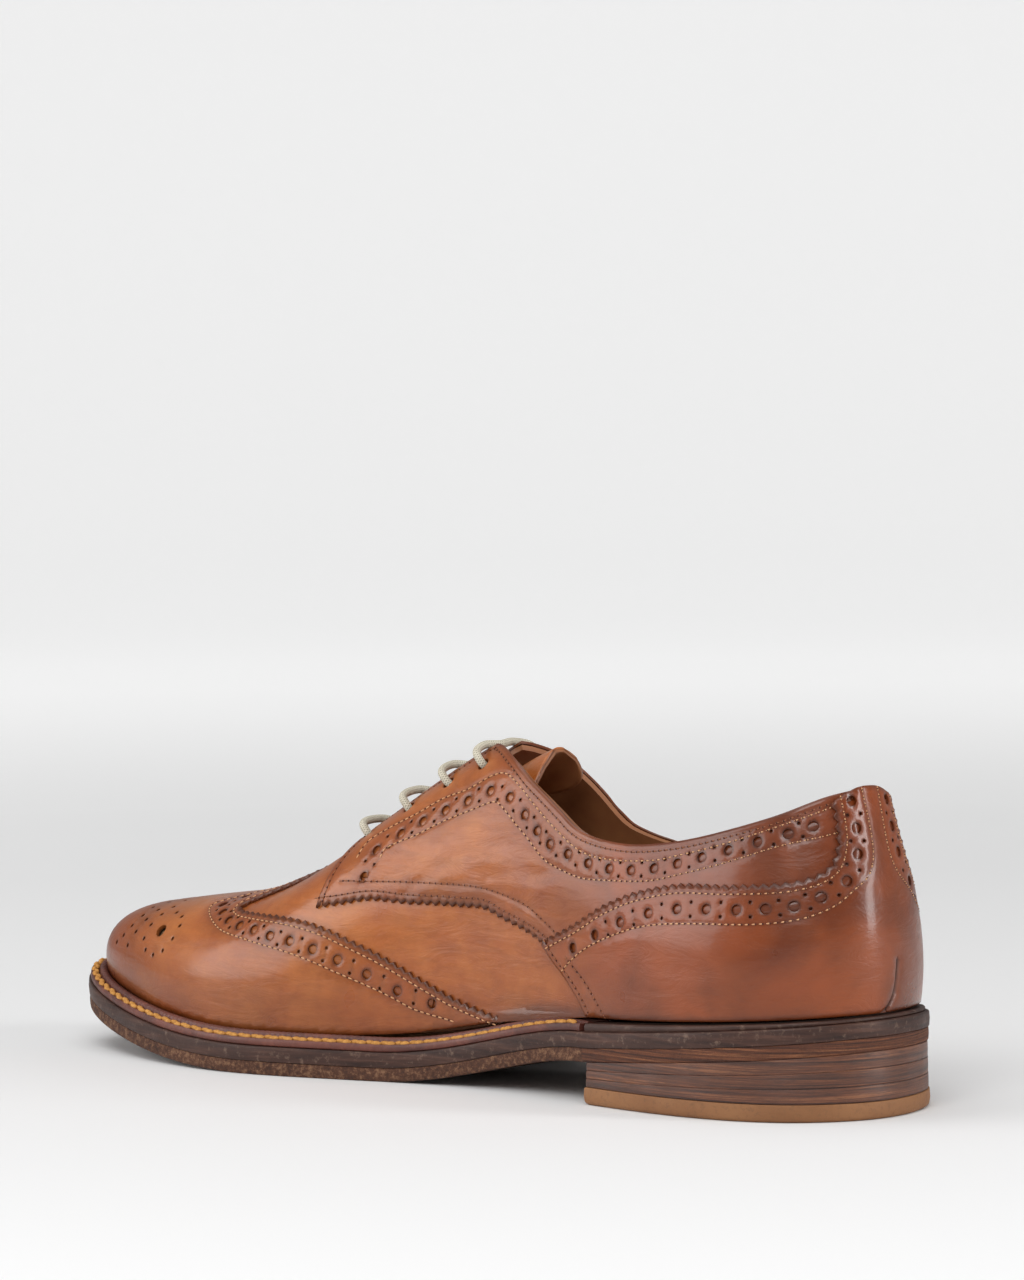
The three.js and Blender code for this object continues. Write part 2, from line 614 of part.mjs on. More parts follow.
// Tongue: a curved tab hung from its root under the vamp's throat.
// x, and height of the lace runs' line above the bed; the tongue hangs clear of it by SLOPE laces
const SLOPE = 2.5;
const TONGUE_LINE = [[192, 55.3], [179, 63.5], [166, 71.7], [153, 78.5], [141, 83.9], [131, 88.9], [123, 92.3]];
const TONGUE_HALF = [15, 15, 13.5, 12, 11.5, 13, 12];
const TONGUE_BEND = [26, 20, 15, 11, 8.5, 8.2, 8];
const TONGUE_THICK = 1.6;
const tongueTop = [];
const tongueBottom = [];
{
  const n = 14;
  const m = 8;
  const sink = OUTSOLE + MIDSOLE + WELT - SLOPE * LACE_DIAMETER;
  const line = spline(TONGUE_LINE.map(([x, z]) => [x, z + sink]), n);
  const half = spline(TONGUE_HALF.map((h, i) => [i, h]), n);
  const bend = spline(TONGUE_BEND.map((h, i) => [i, h]), n);
  for (let i = 0; i <= n; i += 1) {
    const p = line[Math.max(0, i - 1)];
    const q = line[Math.min(n, i + 1)];
    const l = Math.hypot(q[0] - p[0], q[1] - p[1]);
    const nx = -(q[1] - p[1]) / l * -1;
    const nz = (q[0] - p[0]) / l * -1;
    for (let j = 0; j <= m; j += 1) {
      const y = half[i][1] * (1 - 2 * j / m);
      const round = bend[i][1] * (y > 0 ? 0.8 : 1.1);
      const drop = y * y / (2 * round);
      const c = { x: line[i][0] - nx * drop * 0.5, y: y + 0.5, z: line[i][1] - drop };
      tongueTop.push(V(c));
      const r = Math.hypot(1, y / round);
      tongueBottom.push(V({
        x: c.x - nx * TONGUE_THICK / r, y: c.y - y / round * TONGUE_THICK / r,
        z: c.z - nz * TONGUE_THICK / r }));
    }
  }
  add('tongue', closedGrid(tongueTop, tongueBottom, n, m), 'lining');
}

// Sole unit, from the floor up.
const under = (x) => underside(x);
const midTop = (x) => under(x) + OUTSOLE + MIDSOLE + PLAY;
const rise = (x) => (x < HEEL_BREAST ? 1.1 + (WELT - 1.1) * x / HEEL_BREAST : WELT);
add('top_piece', plate(0.1, null, HEEL_BREAST, () => 0, () => TOP_PIECE), 'rubber');
for (let k = 0; k < 3; k += 1) {
  const low = (x) => TOP_PIECE + PLAY + (under(x) - TOP_PIECE - PLAY) * k / 3;
  const high = (x) => TOP_PIECE + PLAY + (under(x) - TOP_PIECE - PLAY) * (k + 1) / 3 - PLAY;
  add(`heel_lift_${k + 1}`, plate(0.3, null, HEEL_BREAST - 0.1, low, high), 'stack');
}
add('outsole', plate(0.2, null, null, under, (x) => under(x) + OUTSOLE), 'crepe');
add('midsole', plate(0, null, null, (x) => under(x) + OUTSOLE + PLAY, midTop), 'dark');

const WELT_FROM = 4.55;
const weltProfile = [[0.6, 0.25, 0], [0.6, WELT, 0], [3.2, WELT, 0], [3.7, WELT_LIP, 1], [5.0, WELT_LIP, 1],
  [5.3, WELT, 0], [11.6, WELT, 0], [11.6, 0.25, 0]];
const easeLip = (t) => Math.min(1, (WELT + 0.3) / WELT_LIP + Math.min(t, 1 - t) * 8);
add('welt', edgeStrip(weltProfile, WELT_FROM, RING - WELT_FROM, 56, midTop, easeLip), 'welt');
const threadProfile = [[1.4, WELT + 0.2], [1.4, WELT + 0.9], [2.6, WELT + 0.9], [2.6, WELT + 0.2]];
const threadEnds = [WELT_FROM + 0.12, RING - WELT_FROM - 0.12];
add('welt_thread', edgeStrip(threadProfile, ...threadEnds, 56, midTop, () => 1), 'thread');
const ribProfile = [[12.1, 0.25], [12.1, WELT - 0.1], [13.3, WELT - 0.1], [13.3, 0.25]];
const ribEnds = [WELT_FROM + 0.3, RING - WELT_FROM - 0.3];
add('insole_rib', edgeStrip(ribProfile, ...ribEnds, 40, midTop, () => 1), 'board');

// heel rand: a strip round the seat, thin at the back and as thick as the welt at its front ends
{
  const profile = [[1.7, 0.2], [1.7, 1], [7.6, 1], [7.6, 0.2]];
  const pos = [];
  const index = [];
  const n = 30;
  for (let i = 0; i <= n; i += 1) {
    const u = -4.4 + 8.8 * i / n;
    for (const [inset, z] of profile) {
      const p = edgePoint(u, inset);
      const q = V({ x: p[0], y: p[1], z: midTop(p[0]) + (z === 1 ? rise(p[0]) : z) });
      pos.push(q.x, q.y, q.z);
    }
  }
  for (let i = 0; i < n; i += 1) {
    for (let j = 0; j < 4; j += 1) {
      const [p, q] = [i * 4 + j, i * 4 + (j + 1) % 4];
      index.push(p, q, q + 4, p, q + 4, p + 4);
    }
  }
  index.push(0, 1, 2, 0, 2, 3, n * 4, n * 4 + 1, n * 4 + 2, n * 4, n * 4 + 2, n * 4 + 3);
  add('heel_rand', agree({ pos, index }), 'dark');
}

add('cork_filler', plate(14.2, 128, null, (x) => midTop(x) + 0.2, (x) => midTop(x) + WELT - 0.2), 'cork');
add('shank', plate(14, 34, 120, (x) => midTop(x) + 0.2, (x) => midTop(x) + 0.95, 2, () => 0.36), 'steel');
const insoleInset = 11.2;
add('insole', plate(insoleInset, null, null, (x) => midTop(x) + rise(x) + 0.3,
  (x) => midTop(x) + rise(x) + 2.2), 'board');
add('sock_lining', plate(insoleInset + 0.4, null, null, (x) => midTop(x) + rise(x) + 2.35,
  (x) => midTop(x) + rise(x) + 3.4), 'lining');

// Lace: four bars over the facings, short runs beneath them, both tails tucked in along the inner side.
const LACE = [];
const LACE_PLAY = 0.35;
const LACE_IN = -(LINING_LEVEL + LINING + LACE_DIAMETER / 2 + LACE_PLAY);
const LACE_OUT = LACE_DIAMETER / 2 + 1.8;
const LACE_CREST = LACE_DIAMETER / 2 + 0.2;
function bar(i, side) {
  const [s, v] = HOLES[i];
  const over = (turn, ds, at, d) => offPoint(onSkin, turn * (s + ds), at, d);
  const middle = last(ringOf(s + 3), 1);
  middle.z += LACE_CREST;
  LACE.push(over(side, 0, v, LACE_IN), over(side, 0, v, 2), over(side, 1.5, v + 0.035, 4.3));
  LACE.push(over(side, 3, 0.93, LACE_OUT + 0.4), middle, over(-side, 3, 0.93, LACE_OUT + 0.4));
  LACE.push(over(-side, 1.5, v + 0.035, 4.3), over(-side, 0, v, 2), over(-side, 0, v, LACE_IN));
}
const TAIL_1 = [[201, 0.67, -0.1], [191, 0.58, -0.2], [175, 0.52, -0.3], [158, 0.49, -0.3], [140, 0.46, -0.3],
  [120, 0.42, -0.4], [100, 0.38, -0.5], [84, 0.34, -0.7], [70, 0.31, -1.1], [58, 0.29, -1.9]];
const TAIL_2 = [[156, 0.74, -0.05], [151, 0.66, -0.05], [142, 0.58, -0.2], [128, 0.54, -0.3],
  [110, 0.49, -0.4], [92, 0.47, -0.5], [78, 0.46, -0.9], [66, 0.45, -1.7]];
const tail = (list, side) => list.map(([s, v, d]) => offPoint(onSkin, side * s, v, d + LACE_IN));
LACE.push(...tail(TAIL_1, 1).reverse());
bar(0, 1);
bar(1, -1);
bar(2, 1);
bar(3, -1);
LACE.push(...tail(TAIL_2, 1));

function tube(points, radius, sides, steps) {
  const path = new THREE.CatmullRomCurve3(points.map((p) => V(p)), false, 'centripetal');
  const ring = new THREE.Shape();
  for (let i = 0; i < sides; i += 1) {
    const a = 2 * Math.PI * i / sides;
    if (i === 0) ring.moveTo(radius * Math.cos(a), radius * Math.sin(a));
    else ring.lineTo(radius * Math.cos(a), radius * Math.sin(a));
  }
  const sweep = { steps, extrudePath: path, curveSegments: 1, bevelEnabled: false };
  return weld(new THREE.ExtrudeGeometry(ring, sweep));
}
add('lace', tube(LACE, LACE_DIAMETER / 2, 8, 104), 'lace');

// aglets continue the two ends in a straight line
const ends = [[LACE[0], LACE[1]], [LACE[LACE.length - 1], LACE[LACE.length - 2]]];
ends.forEach(([tip, before], i) => {
  const d = tip.clone().sub(before).normalize();
  const a = tip.clone().addScaledVector(d, 0.3);
  const b = tip.clone().addScaledVector(d, 14);
  add(`aglet_${i + 1}`, tube([a, a.clone().lerp(b, 0.5), b], LACE_DIAMETER / 2 + 0.15, 8, 2), 'steel');
});

export default shoe;
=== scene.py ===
# %% [markdown]
# # A welted derby shoe, built up in Blender
# The shoe is a full-brogue derby: a cap with wings over a vamp, two quarters laced over a
# tongue, a foxing round the heel, and a storm welt that ties them to a stacked sole.
# This lesson makes every visible part again in fine detail around the imported CAD frame.
# The frame is loaded first.

# %% Load the frame
import math
import bmesh
import bpy
import numpy as np
from mathutils import Matrix, Vector
from mathutils.geometry import delaunay_2d_cdt


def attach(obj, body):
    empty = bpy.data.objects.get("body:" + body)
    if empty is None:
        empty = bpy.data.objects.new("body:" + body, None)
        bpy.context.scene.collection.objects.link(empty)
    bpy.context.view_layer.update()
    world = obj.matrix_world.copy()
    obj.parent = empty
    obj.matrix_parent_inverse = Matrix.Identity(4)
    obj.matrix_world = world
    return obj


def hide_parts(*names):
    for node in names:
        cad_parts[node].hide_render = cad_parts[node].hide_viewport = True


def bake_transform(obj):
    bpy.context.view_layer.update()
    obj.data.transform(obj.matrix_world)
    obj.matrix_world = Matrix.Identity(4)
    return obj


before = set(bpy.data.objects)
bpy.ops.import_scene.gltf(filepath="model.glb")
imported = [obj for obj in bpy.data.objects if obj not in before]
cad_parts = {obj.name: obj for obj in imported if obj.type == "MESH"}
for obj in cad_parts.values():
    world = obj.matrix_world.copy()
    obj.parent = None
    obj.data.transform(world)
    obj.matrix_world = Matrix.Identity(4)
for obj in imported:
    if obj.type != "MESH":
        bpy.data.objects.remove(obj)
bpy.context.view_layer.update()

# %% [markdown]
# ## The last
# A shoe takes its shape from the last, the wooden foot it is pulled over. Here the last is a
# ring of 28 sections round the foot, blended as a smooth curve round the ring, and each section
# is one Bezier curve from the feather edge, where the sole begins, up to the comb on top.
# Using the maker's own numbers keeps every stitched panel exactly on the CAD shape.

# %% Sizes of the last, in millimetres
CENTRE = np.array([150.0, -1.55, 0.0])
STATION = [4, 18, 42, 70, 100, 130, 160, 188, 215, 240, 264, 284, 297]
INNER = [18, 32, 38, 37, 32, 29, 34, 44, 49.5, 47.5, 41.5, 34, 24]
OUTER = [24, 35, 37, 34.5, 32.5, 35.5, 43.5, 50.5, 52.5, 49, 39, 24, 10]
INSET = [5.4, 5.4, 5.4, 5.4, 5.6, 6.0, 6.2, 6.8, 7.4, 7.8, 7.8, 7.8, 7.8, 7.8, 7.8]
FEATHER_Z = [29, 28.8, 28, 26.4, 24.4, 23.2, 17.7, 12.6, 11.4, 11.4, 13, 16.4, 20.4, 22.9, 23.8]
BULGE_IN = [3.5, 4, 4, 3.2, 1.5, 1, 2, 3, 3, 3, 3, 3.5, 4, 4, 4]
BULGE_OUT = [3.5, 4, 4, 4, 3.2, 3, 3, 3, 3, 3, 3.5, 4, 4, 4, 4]
WALL = [0.33, 0.33, 0.33, 0.35, 0.4, 0.45, 0.5, 0.53, 0.55, 0.57, 0.58, 0.6, 0.62, 0.63, 0.64]
COMB_X = [12, 14, 22, 42, 70, 99, 130, 160, 187, 211, 231, 247, 259, 266, 270]
COMB_W = [0, 9, 16, 19, 18, 14, 0, 0, 0, 0, 0, 0, 0, 0, 0]
COMB_Y = [0, 0, 0, 0, 0, 0, 2, 2, 2, 3, 4, 5, 6, 7, 7.5]
COMB_Z = [100, 100, 99, 97, 98, 104, 103.5, 87.5, 70, 53.5, 48.3, 46.2, 44.6, 43.3, 42.6]
CHEEK_X = [6, 8.5, 20, 42, 70, 100, 130, 160, 188, 213, 235, 254, 268, 277, 280]
CHEEK_IN = [0, 12, 23, 25.5, 24.5, 21.5, 18.5, 21, 26, 31, 31, 28.5, 23.5, 17, 7.5]
CHEEK_OUT = [0, 12, 23, 25.5, 25.5, 24.5, 24, 26.5, 33, 37, 36.5, 31, 20, 8, 7.5]
CHEEK_Z = [76, 76, 75, 73, 74, 82, 97.5, 85.5, 69.5, 53.5, 48.3, 46.2, 44.6, 43.3, 42]
RING, HALF = 28, 14
EDGE = np.array([(-2.5, 0)] + list(zip(STATION, INNER)) + [(302, 10)]
                + [(x, -w) for x, w in list(zip(STATION, OUTER))[::-1]], float)


def section(k):
    """The four Bezier points of one section: foot, wall, cheek and comb."""
    j = k if k <= HALF else RING - k
    inner = k <= HALF
    side = 1 if inner else -1
    along = EDGE[(k + 1) % RING] - EDGE[k - 1]
    out = np.array([-along[1], along[0]]) / np.hypot(*along)
    foot = EDGE[k] - out * INSET[j]
    wall = foot + out * (BULGE_IN if inner else BULGE_OUT)[j]
    shift = COMB_Y[j] if 6 <= j < HALF else 0
    cheek_y = COMB_Y[HALF] if j == HALF else side * (CHEEK_IN if inner else CHEEK_OUT)[j] + shift
    return [[*foot, FEATHER_Z[j]],
            [*wall, FEATHER_Z[j] + WALL[j] * (COMB_Z[j] - FEATHER_Z[j])],
            [CHEEK_X[j], cheek_y, CHEEK_Z[j]],
            [COMB_X[j], side * COMB_W[j] + COMB_Y[j], COMB_Z[j]]]


NET = np.array([section(k) for k in range(RING)], float)
print("sections of the last", NET.shape)

# %% The last as a surface


def basis(t):
    """Weights of four neighbouring sections."""
    r = 1 - t
    inner = (3 * t ** 3 - 6 * t * t + 4) / 6
    outer = (-3 * t ** 3 + 3 * t * t + 3 * t + 1) / 6
    return [r ** 3 / 6, inner, outer, t ** 3 / 6]


def bezier(v):
    """Weights of the four points of a section, from foot to comb."""
    r = 1 - v
    return [r ** 3, 3 * v * r * r, 3 * v * v * r, v ** 3]


def column(u):
    """Blended sections at ring places u."""
    w = np.mod(np.asarray(u, float), RING)
    i = np.floor(w).astype(int)
    weights = basis(w - i)
    return sum(weights[k][..., None, None] * NET[(i + k - 1) % RING] for k in range(4))


def last(u, v):
    """A point of the last: u round the ring, v from the feather 0 to the comb 1."""
    c = column(u)
    v = np.asarray(v, float)[..., None]
    weights = bezier(v)
    return sum(weights[k] * c[..., k, :] for k in range(4))


def run_of(line):
    """Length walked along a line, at each of its points."""
    return np.concatenate([[0], np.cumsum(np.linalg.norm(np.diff(line, axis=0), axis=1))])


HALF_FEATHER = 330
RING_U = np.linspace(0, HALF, 1401)
FEATHER = last(RING_U, np.zeros(1401))
WALKED = run_of(FEATHER)
WALKED *= HALF_FEATHER / WALKED[-1]


def ring_of(s):
    """Ring place of a length s along the feather line, + on the inner side, - on the outer."""
    s = np.asarray(s, float)
    return np.sign(s) * np.interp(np.abs(s), WALKED, RING_U)


def on_skin(q):
    """Side panels are cut in (s, v)."""
    return last(ring_of(q[..., 0]), q[..., 1])


PARTS = 24
SHARES = np.linspace(1, 0, PARTS + 1)


def rolled_out(u):
    """For a section: its comb seen from above, which way it runs down, and the walked length."""
    c = column(u)
    run = c[..., 0, :2] - c[..., 3, :2]
    run = run / np.linalg.norm(run, axis=-1, keepdims=True)
    v = np.broadcast_to(SHARES, c.shape[:-2] + (PARTS + 1,))
    places = np.einsum("...nk,...kc->...nc", np.stack(bezier(v), -1), c)
    walked = np.linalg.norm(np.diff(places, axis=-2), axis=-1).cumsum(-1)
    return c, run, np.concatenate([np.zeros(walked.shape[:-1] + (1,)), walked], -1)


def flat(q):
    """The forepart is cut as one flat pattern, rolled out from the comb; this lays (s, v) in it."""
    q = np.asarray(q, float)
    c, run, walked = rolled_out(ring_of(q[..., 0]))
    place = (1 - q[..., 1]) * PARTS
    k = np.clip(place.astype(int), 0, PARTS - 1)
    low = np.take_along_axis(walked, k[..., None], -1)[..., 0]
    high = np.take_along_axis(walked, k[..., None] + 1, -1)[..., 0]
    return c[..., 3, :2] + run * (low + (high - low) * (place - k))[..., None]


SPINE_C, SPINE_RUN, _ = rolled_out(5 + 9 * np.arange(41) / 40)
SPINE = np.vstack([SPINE_C[:, 3, :2], SPINE_C[-1:, 3, :2] + SPINE_RUN[-1:] * 90])


def unflat(xy):
    """Back from the flat pattern to the last, by halving the ring interval."""
    x, y = xy[..., 0], xy[..., 1]
    side = np.where(y >= np.interp(x, SPINE[:, 0], SPINE[:, 1]), 1.0, -1.0)
    low = np.full(x.shape, 2.5)
    high = np.full(x.shape, float(HALF))
    for _ in range(34):
        mid = (low + high) / 2
        c = column(side * mid)
        a = c[..., 3, :2] - c[..., 0, :2]
        miss = side * (a[..., 0] * (y - c[..., 0, 1]) - a[..., 1] * (x - c[..., 0, 0]))
        low = np.where(miss > 0, mid, low)
        high = np.where(miss > 0, high, mid)
    u = side * (low + high) / 2
    c, run, walked = rolled_out(u)
    far = (x - c[..., 3, 0]) * run[..., 0] + (y - c[..., 3, 1]) * run[..., 1]
    k = np.clip((walked <= far[..., None]).sum(-1) - 1, 0, PARTS - 1)
    start = np.take_along_axis(walked, k[..., None], -1)[..., 0]
    stop = np.take_along_axis(walked, k[..., None] + 1, -1)[..., 0]
    return u, np.clip(1 - (k + (far - start) / (stop - start)) / PARTS, 0, 1)


def on_fore(q):
    """Forepart panels are cut in the flat pattern."""
    u, v = unflat(q)
    return last(u, v)


on_skin.steps, on_skin.sign = (0.05, 0.0005), -1.0
on_fore.steps, on_fore.sign = (1.2, 1.2), 1.0


def slopes(at, q):
    """How the surface runs as the pattern runs: two vectors at each pattern point."""
    ea, eb = at.steps
    da = at(q + [ea, 0]) - at(q - [ea, 0])
    db = at(q + [0, eb]) - at(q - [0, eb])
    return np.stack([da / (2 * ea), db / (2 * eb)], axis=-1)


def off(at, q, d):
    """Points at height d above the last."""
    q = np.asarray(q, float)
    j = slopes(at, q)
    n = np.cross(j[..., 0], j[..., 1])
    n *= at.sign / np.linalg.norm(n, axis=-1, keepdims=True)
    return at(q) + n * np.broadcast_to(np.asarray(d, float), q.shape[:-1])[..., None]


print("feather length", round(float(run_of(FEATHER)[-1]), 1), "mm a side")

# %% [markdown]
# ## The eye
# The camera stands low behind the inner side of the heel with a long lens, so the shoe shows its
# side, its back and a little of its top, with hardly any foreshortening.

# %% Camera


def stand_camera():
    """A long lens, low behind the inner side of the heel."""
    yaw, pitch, roll = 0.737822, 0.0636554, -0.0106387
    right = np.array([-math.cos(yaw), -math.sin(yaw), 0])
    back = np.array([-math.sin(yaw), math.cos(yaw), 0])
    up = np.array([0, 0, 1.0])
    back2 = back * math.cos(pitch) + up * math.sin(pitch)
    up2 = up * math.cos(pitch) - back * math.sin(pitch)
    right3 = right * math.cos(roll) + up2 * math.sin(roll)
    up3 = up2 * math.cos(roll) - right * math.sin(roll)
    data = bpy.data.cameras.new("camera")
    data.lens = 173.09
    data.sensor_width = 36
    data.clip_start = 0.05
    data.clip_end = 30
    camera = bpy.data.objects.new("camera", data)
    bpy.context.scene.collection.objects.link(camera)
    place = Matrix([[right3[i], up3[i], back2[i], 0] for i in range(3)] + [[0, 0, 0, 1]])
    place.translation = Vector((-1.20973, 1.32247, 0.24111))
    camera.matrix_world = place
    bpy.context.scene.camera = camera
    return camera


camera = stand_camera()
print("camera at", [round(x, 3) for x in camera.matrix_world.translation])

# %% [markdown]
# ## Colours
# Leather is never one colour. The finishes are procedural: cloudy noise for the dye, an attribute that holds
# both the places the maker darkens with wax and painted shade round holes, along pressed rows and in grooves,
# and fine bump for grain. Each colour is written as the paint maker writes it and turned into linear light.

# %% Helpers for finishes


def paint(code):
    """A written colour as linear light."""
    parts = [int(code[i:i + 2], 16) / 255 for i in (1, 3, 5)]
    return [x / 12.92 if x <= 0.04045 else ((x + 0.055) / 1.055) ** 2.4 for x in parts] + [1.0]


class Finish:
    """A material with a short way to add and join its nodes."""

    def __init__(self, name, roughness=0.5, coat=0.0, coat_roughness=0.2, metallic=0.0):
        self.material = bpy.data.materials.new(name)
        self.material.use_nodes = True
        self.tree = self.material.node_tree
        self.shader = self.tree.nodes["Principled BSDF"]
        self.shader.inputs["Roughness"].default_value = roughness
        self.shader.inputs["Metallic"].default_value = metallic
        self.shader.inputs["Coat Weight"].default_value = coat
        self.shader.inputs["Coat Roughness"].default_value = coat_roughness
        self.place = self.tree.nodes.new("ShaderNodeTexCoord").outputs["Object"]

    def join(self, a, b):
        self.tree.links.new(a, b)

    def stretch(self, scale, source=None):
        """Object places, scaled differently each way."""
        node = self.tree.nodes.new("ShaderNodeMapping")
        node.inputs["Scale"].default_value = scale
        self.join(source or self.place, node.inputs["Vector"])
        return node.outputs["Vector"]

    def cloud(self, scale, detail=3.0, source=None, rough=0.55, twist=0.0):
        node = self.tree.nodes.new("ShaderNodeTexNoise")
        node.inputs["Scale"].default_value = scale
        node.inputs["Detail"].default_value = detail
        node.inputs["Roughness"].default_value = rough
        node.inputs["Distortion"].default_value = twist
        self.join(source or self.place, node.inputs["Vector"])
        return node.outputs["Fac"]

    def cells(self, scale, source=None, feature="F1"):
        node = self.tree.nodes.new("ShaderNodeTexVoronoi")
        node.feature = feature
        node.inputs["Scale"].default_value = scale
        self.join(source or self.place, node.inputs["Vector"])
        return node.outputs["Distance"]

    def ramp(self, source, stops):
        node = self.tree.nodes.new("ShaderNodeValToRGB")
        band = node.color_ramp
        while len(band.elements) < len(stops):
            band.elements.new(0.5)
        for element, (where, colour) in zip(band.elements, stops):
            element.position = where
            element.color = paint(colour) if isinstance(colour, str) else [colour] * 3 + [1]
        self.join(source, node.inputs["Fac"])
        return node.outputs["Color"]

    def blend(self, share, low, high, mode="MIX"):
        node = self.tree.nodes.new("ShaderNodeMix")
        node.data_type = "RGBA"
        node.blend_type = mode
        for socket, value in ((node.inputs[0], share), (node.inputs[6], low), (node.inputs[7], high)):
            if isinstance(value, bpy.types.NodeSocket):
                self.join(value, socket)
            else:
                socket.default_value = paint(value) if isinstance(value, str) else value
        return node.outputs[2]

    def sum(self, a, b, how="ADD"):
        node = self.tree.nodes.new("ShaderNodeMath")
        node.operation = how
        for socket, value in ((node.inputs[0], a), (node.inputs[1], b)):
            if isinstance(value, bpy.types.NodeSocket):
                self.join(value, socket)
            else:
                socket.default_value = value
        return node.outputs[0]

    def mark(self, name):
        node = self.tree.nodes.new("ShaderNodeAttribute")
        node.attribute_name = name
        return node.outputs["Fac"]

    def relief(self, height, strength, depth):
        node = self.tree.nodes.new("ShaderNodeBump")
        node.inputs["Strength"].default_value = strength
        node.inputs["Distance"].default_value = depth
        self.join(height, node.inputs["Height"])
        before = self.shader.inputs["Normal"].links
        if before:
            self.join(before[0].from_socket, node.inputs["Normal"])
        self.join(node.outputs["Normal"], self.shader.inputs["Normal"])

    def colour(self, socket):
        self.join(socket, self.shader.inputs["Base Color"])

    def gloss(self, socket):
        self.join(socket, self.shader.inputs["Roughness"])


print("a finish starts as a Principled shader and is built up by short calls")

# %% [markdown]
# ## Leather of the upper
# The outer leather is tan calf, dyed by hand: orange in the open, redder at the heel, the toe and round the
# punching, and almost black where wax was rubbed into an edge. Round the holes, along the pressed rows and in
# the dart groove it is darkened as painted shade. The lining is plain, with painted shade on its inner face.

# %% Finishes of the upper


def tan_calf():
    """Burnished tan calf: cloudy dye, redder at the heel, toe and punching; waxed dark near edges and toe,
    and darkened by painted shade round the punching, in pressed rows and grooves.
    """
    f = Finish("burnished_tan_calf", coat=0.4, coat_roughness=0.13)
    f.shader.inputs["Specular IOR Level"].default_value = 0.35
    dye = f.ramp(f.cloud(17, 3, twist=0.5), [(0.30, "#8B441E"), (0.5, "#AD602C"), (0.70, "#C27638")])
    small = f.ramp(f.cloud(110, 4, rough=0.65), [(0.35, "#934B22"), (0.65, "#B86D33")])
    skin = f.blend(0.4, dye, small)
    streak = f.ramp(f.cloud(60, 5, f.stretch((1.0, 1.0, 3.5)), 0.6, 1.2), [(0.45, 1.0), (0.62, 0.80)])
    skin = f.blend(0.6, skin, streak, "MULTIPLY")
    red = f.ramp(f.cloud(26, 3, twist=0.6), [(0.35, "#61280E"), (0.65, "#8C4018")])
    skin = f.blend(f.mark("deep"), skin, red)
    # Darker towards near black by the shared attribute: wax at edges and toe, painted shade round holes,
    # along pressed rows, in grooves and on hole walls.
    wax_and_shade_mix = f.sum(f.mark("wax_and_painted_shade"), f.sum(f.cloud(170, 3), 0.3, "MULTIPLY"))
    wax_and_shade_mix = f.ramp(wax_and_shade_mix, [(0.20, 0.0), (1.05, 1.0)])
    f.colour(f.blend(wax_and_shade_mix, skin, "#32160C"))
    f.gloss(f.ramp(f.cloud(55, 3), [(0.3, 0.26), (0.7, 0.42)]))
    f.relief(f.cells(950), 0.12, 0.00015)
    crease = f.cloud(80, 5, f.stretch((0.7, 1.0, 2.4)), 0.62, 1.8)
    deeper = f.sum(f.sum(f.mark("slack"), 1.6, "MULTIPLY"), 1.0)
    f.relief(f.sum(crease, deeper, "MULTIPLY"), 0.32, 0.0010)
    return f.material


def brown_lining():
    """Lining calf, dark brown and plain."""
    f = Finish("brown_lining_calf", roughness=0.55, coat=0.1, coat_roughness=0.4)
    dye = f.ramp(f.cloud(30, 4), [(0.3, "#8A5230"), (0.7, "#A86E44")])
    dye = f.blend(f.ramp(f.cloud(240, 3), [(0.4, 0.0), (0.75, 0.5)]), dye, "#A56C41")
    # Darker by the shared attribute: wax at the cut edges, painted shade on the inner face and in the holes.
    f.colour(f.blend(f.sum(f.mark("wax_and_painted_shade"), 0.35, "MULTIPLY"), dye, "#2C150B"))
    f.relief(f.cells(1100), 0.15, 0.00015)
    return f.material


print("the upper's leathers are mixed by the attributes burnish, deep and slack")

# %% [markdown]
# ## Leather and rubber of the sole
# Sole leather shows its edge. The midsole is waxed nearly black, the outsole is left rough, and the
# heel is a stack whose thin layers show as lines, so its noise is squeezed flat in height.

# %% Finishes of the sole
HEEL_FRONT = -0.0655


def waxed_edge():
    """Midsole and rand edge, dyed near black brown and waxed."""
    f = Finish("waxed_dark_edge", coat=0.06, coat_roughness=0.35)
    f.shader.inputs["Specular IOR Level"].default_value = 0.35
    layer = f.cloud(45, 5, f.stretch((1, 1, 14)), 0.65)
    dye = f.ramp(layer, [(0.30, "#281611"), (0.55, "#442B22"), (0.75, "#5E4034")])
    scuff = f.ramp(f.cloud(420, 4, rough=0.7), [(0.56, 0.0), (0.72, 0.6)])
    f.colour(f.blend(scuff, dye, "#836A5A"))
    f.gloss(f.ramp(f.cloud(120, 3), [(0.3, 0.42), (0.7, 0.62)]))
    f.relief(layer, 0.35, 0.0005)
    f.relief(f.cloud(900, 3, rough=0.7), 0.3, 0.0003)
    return f.material


def stack_colour(f):
    """Thin dark and light lines of stacked sole leather, one over another."""
    layer = f.cloud(16, 7, f.stretch((1, 1, 90)), 0.75)
    dye = f.ramp(layer, [(0.32, "#1E0F0A"), (0.44, "#4A2A1C"), (0.56, "#6E4029"), (0.68, "#9A6642")])
    fleck = f.ramp(f.cloud(110, 6, f.stretch((1, 1, 12)), 0.85), [(0.46, 0.0), (0.66, 0.8)])
    return layer, f.blend(fleck, dye, "#38211A")


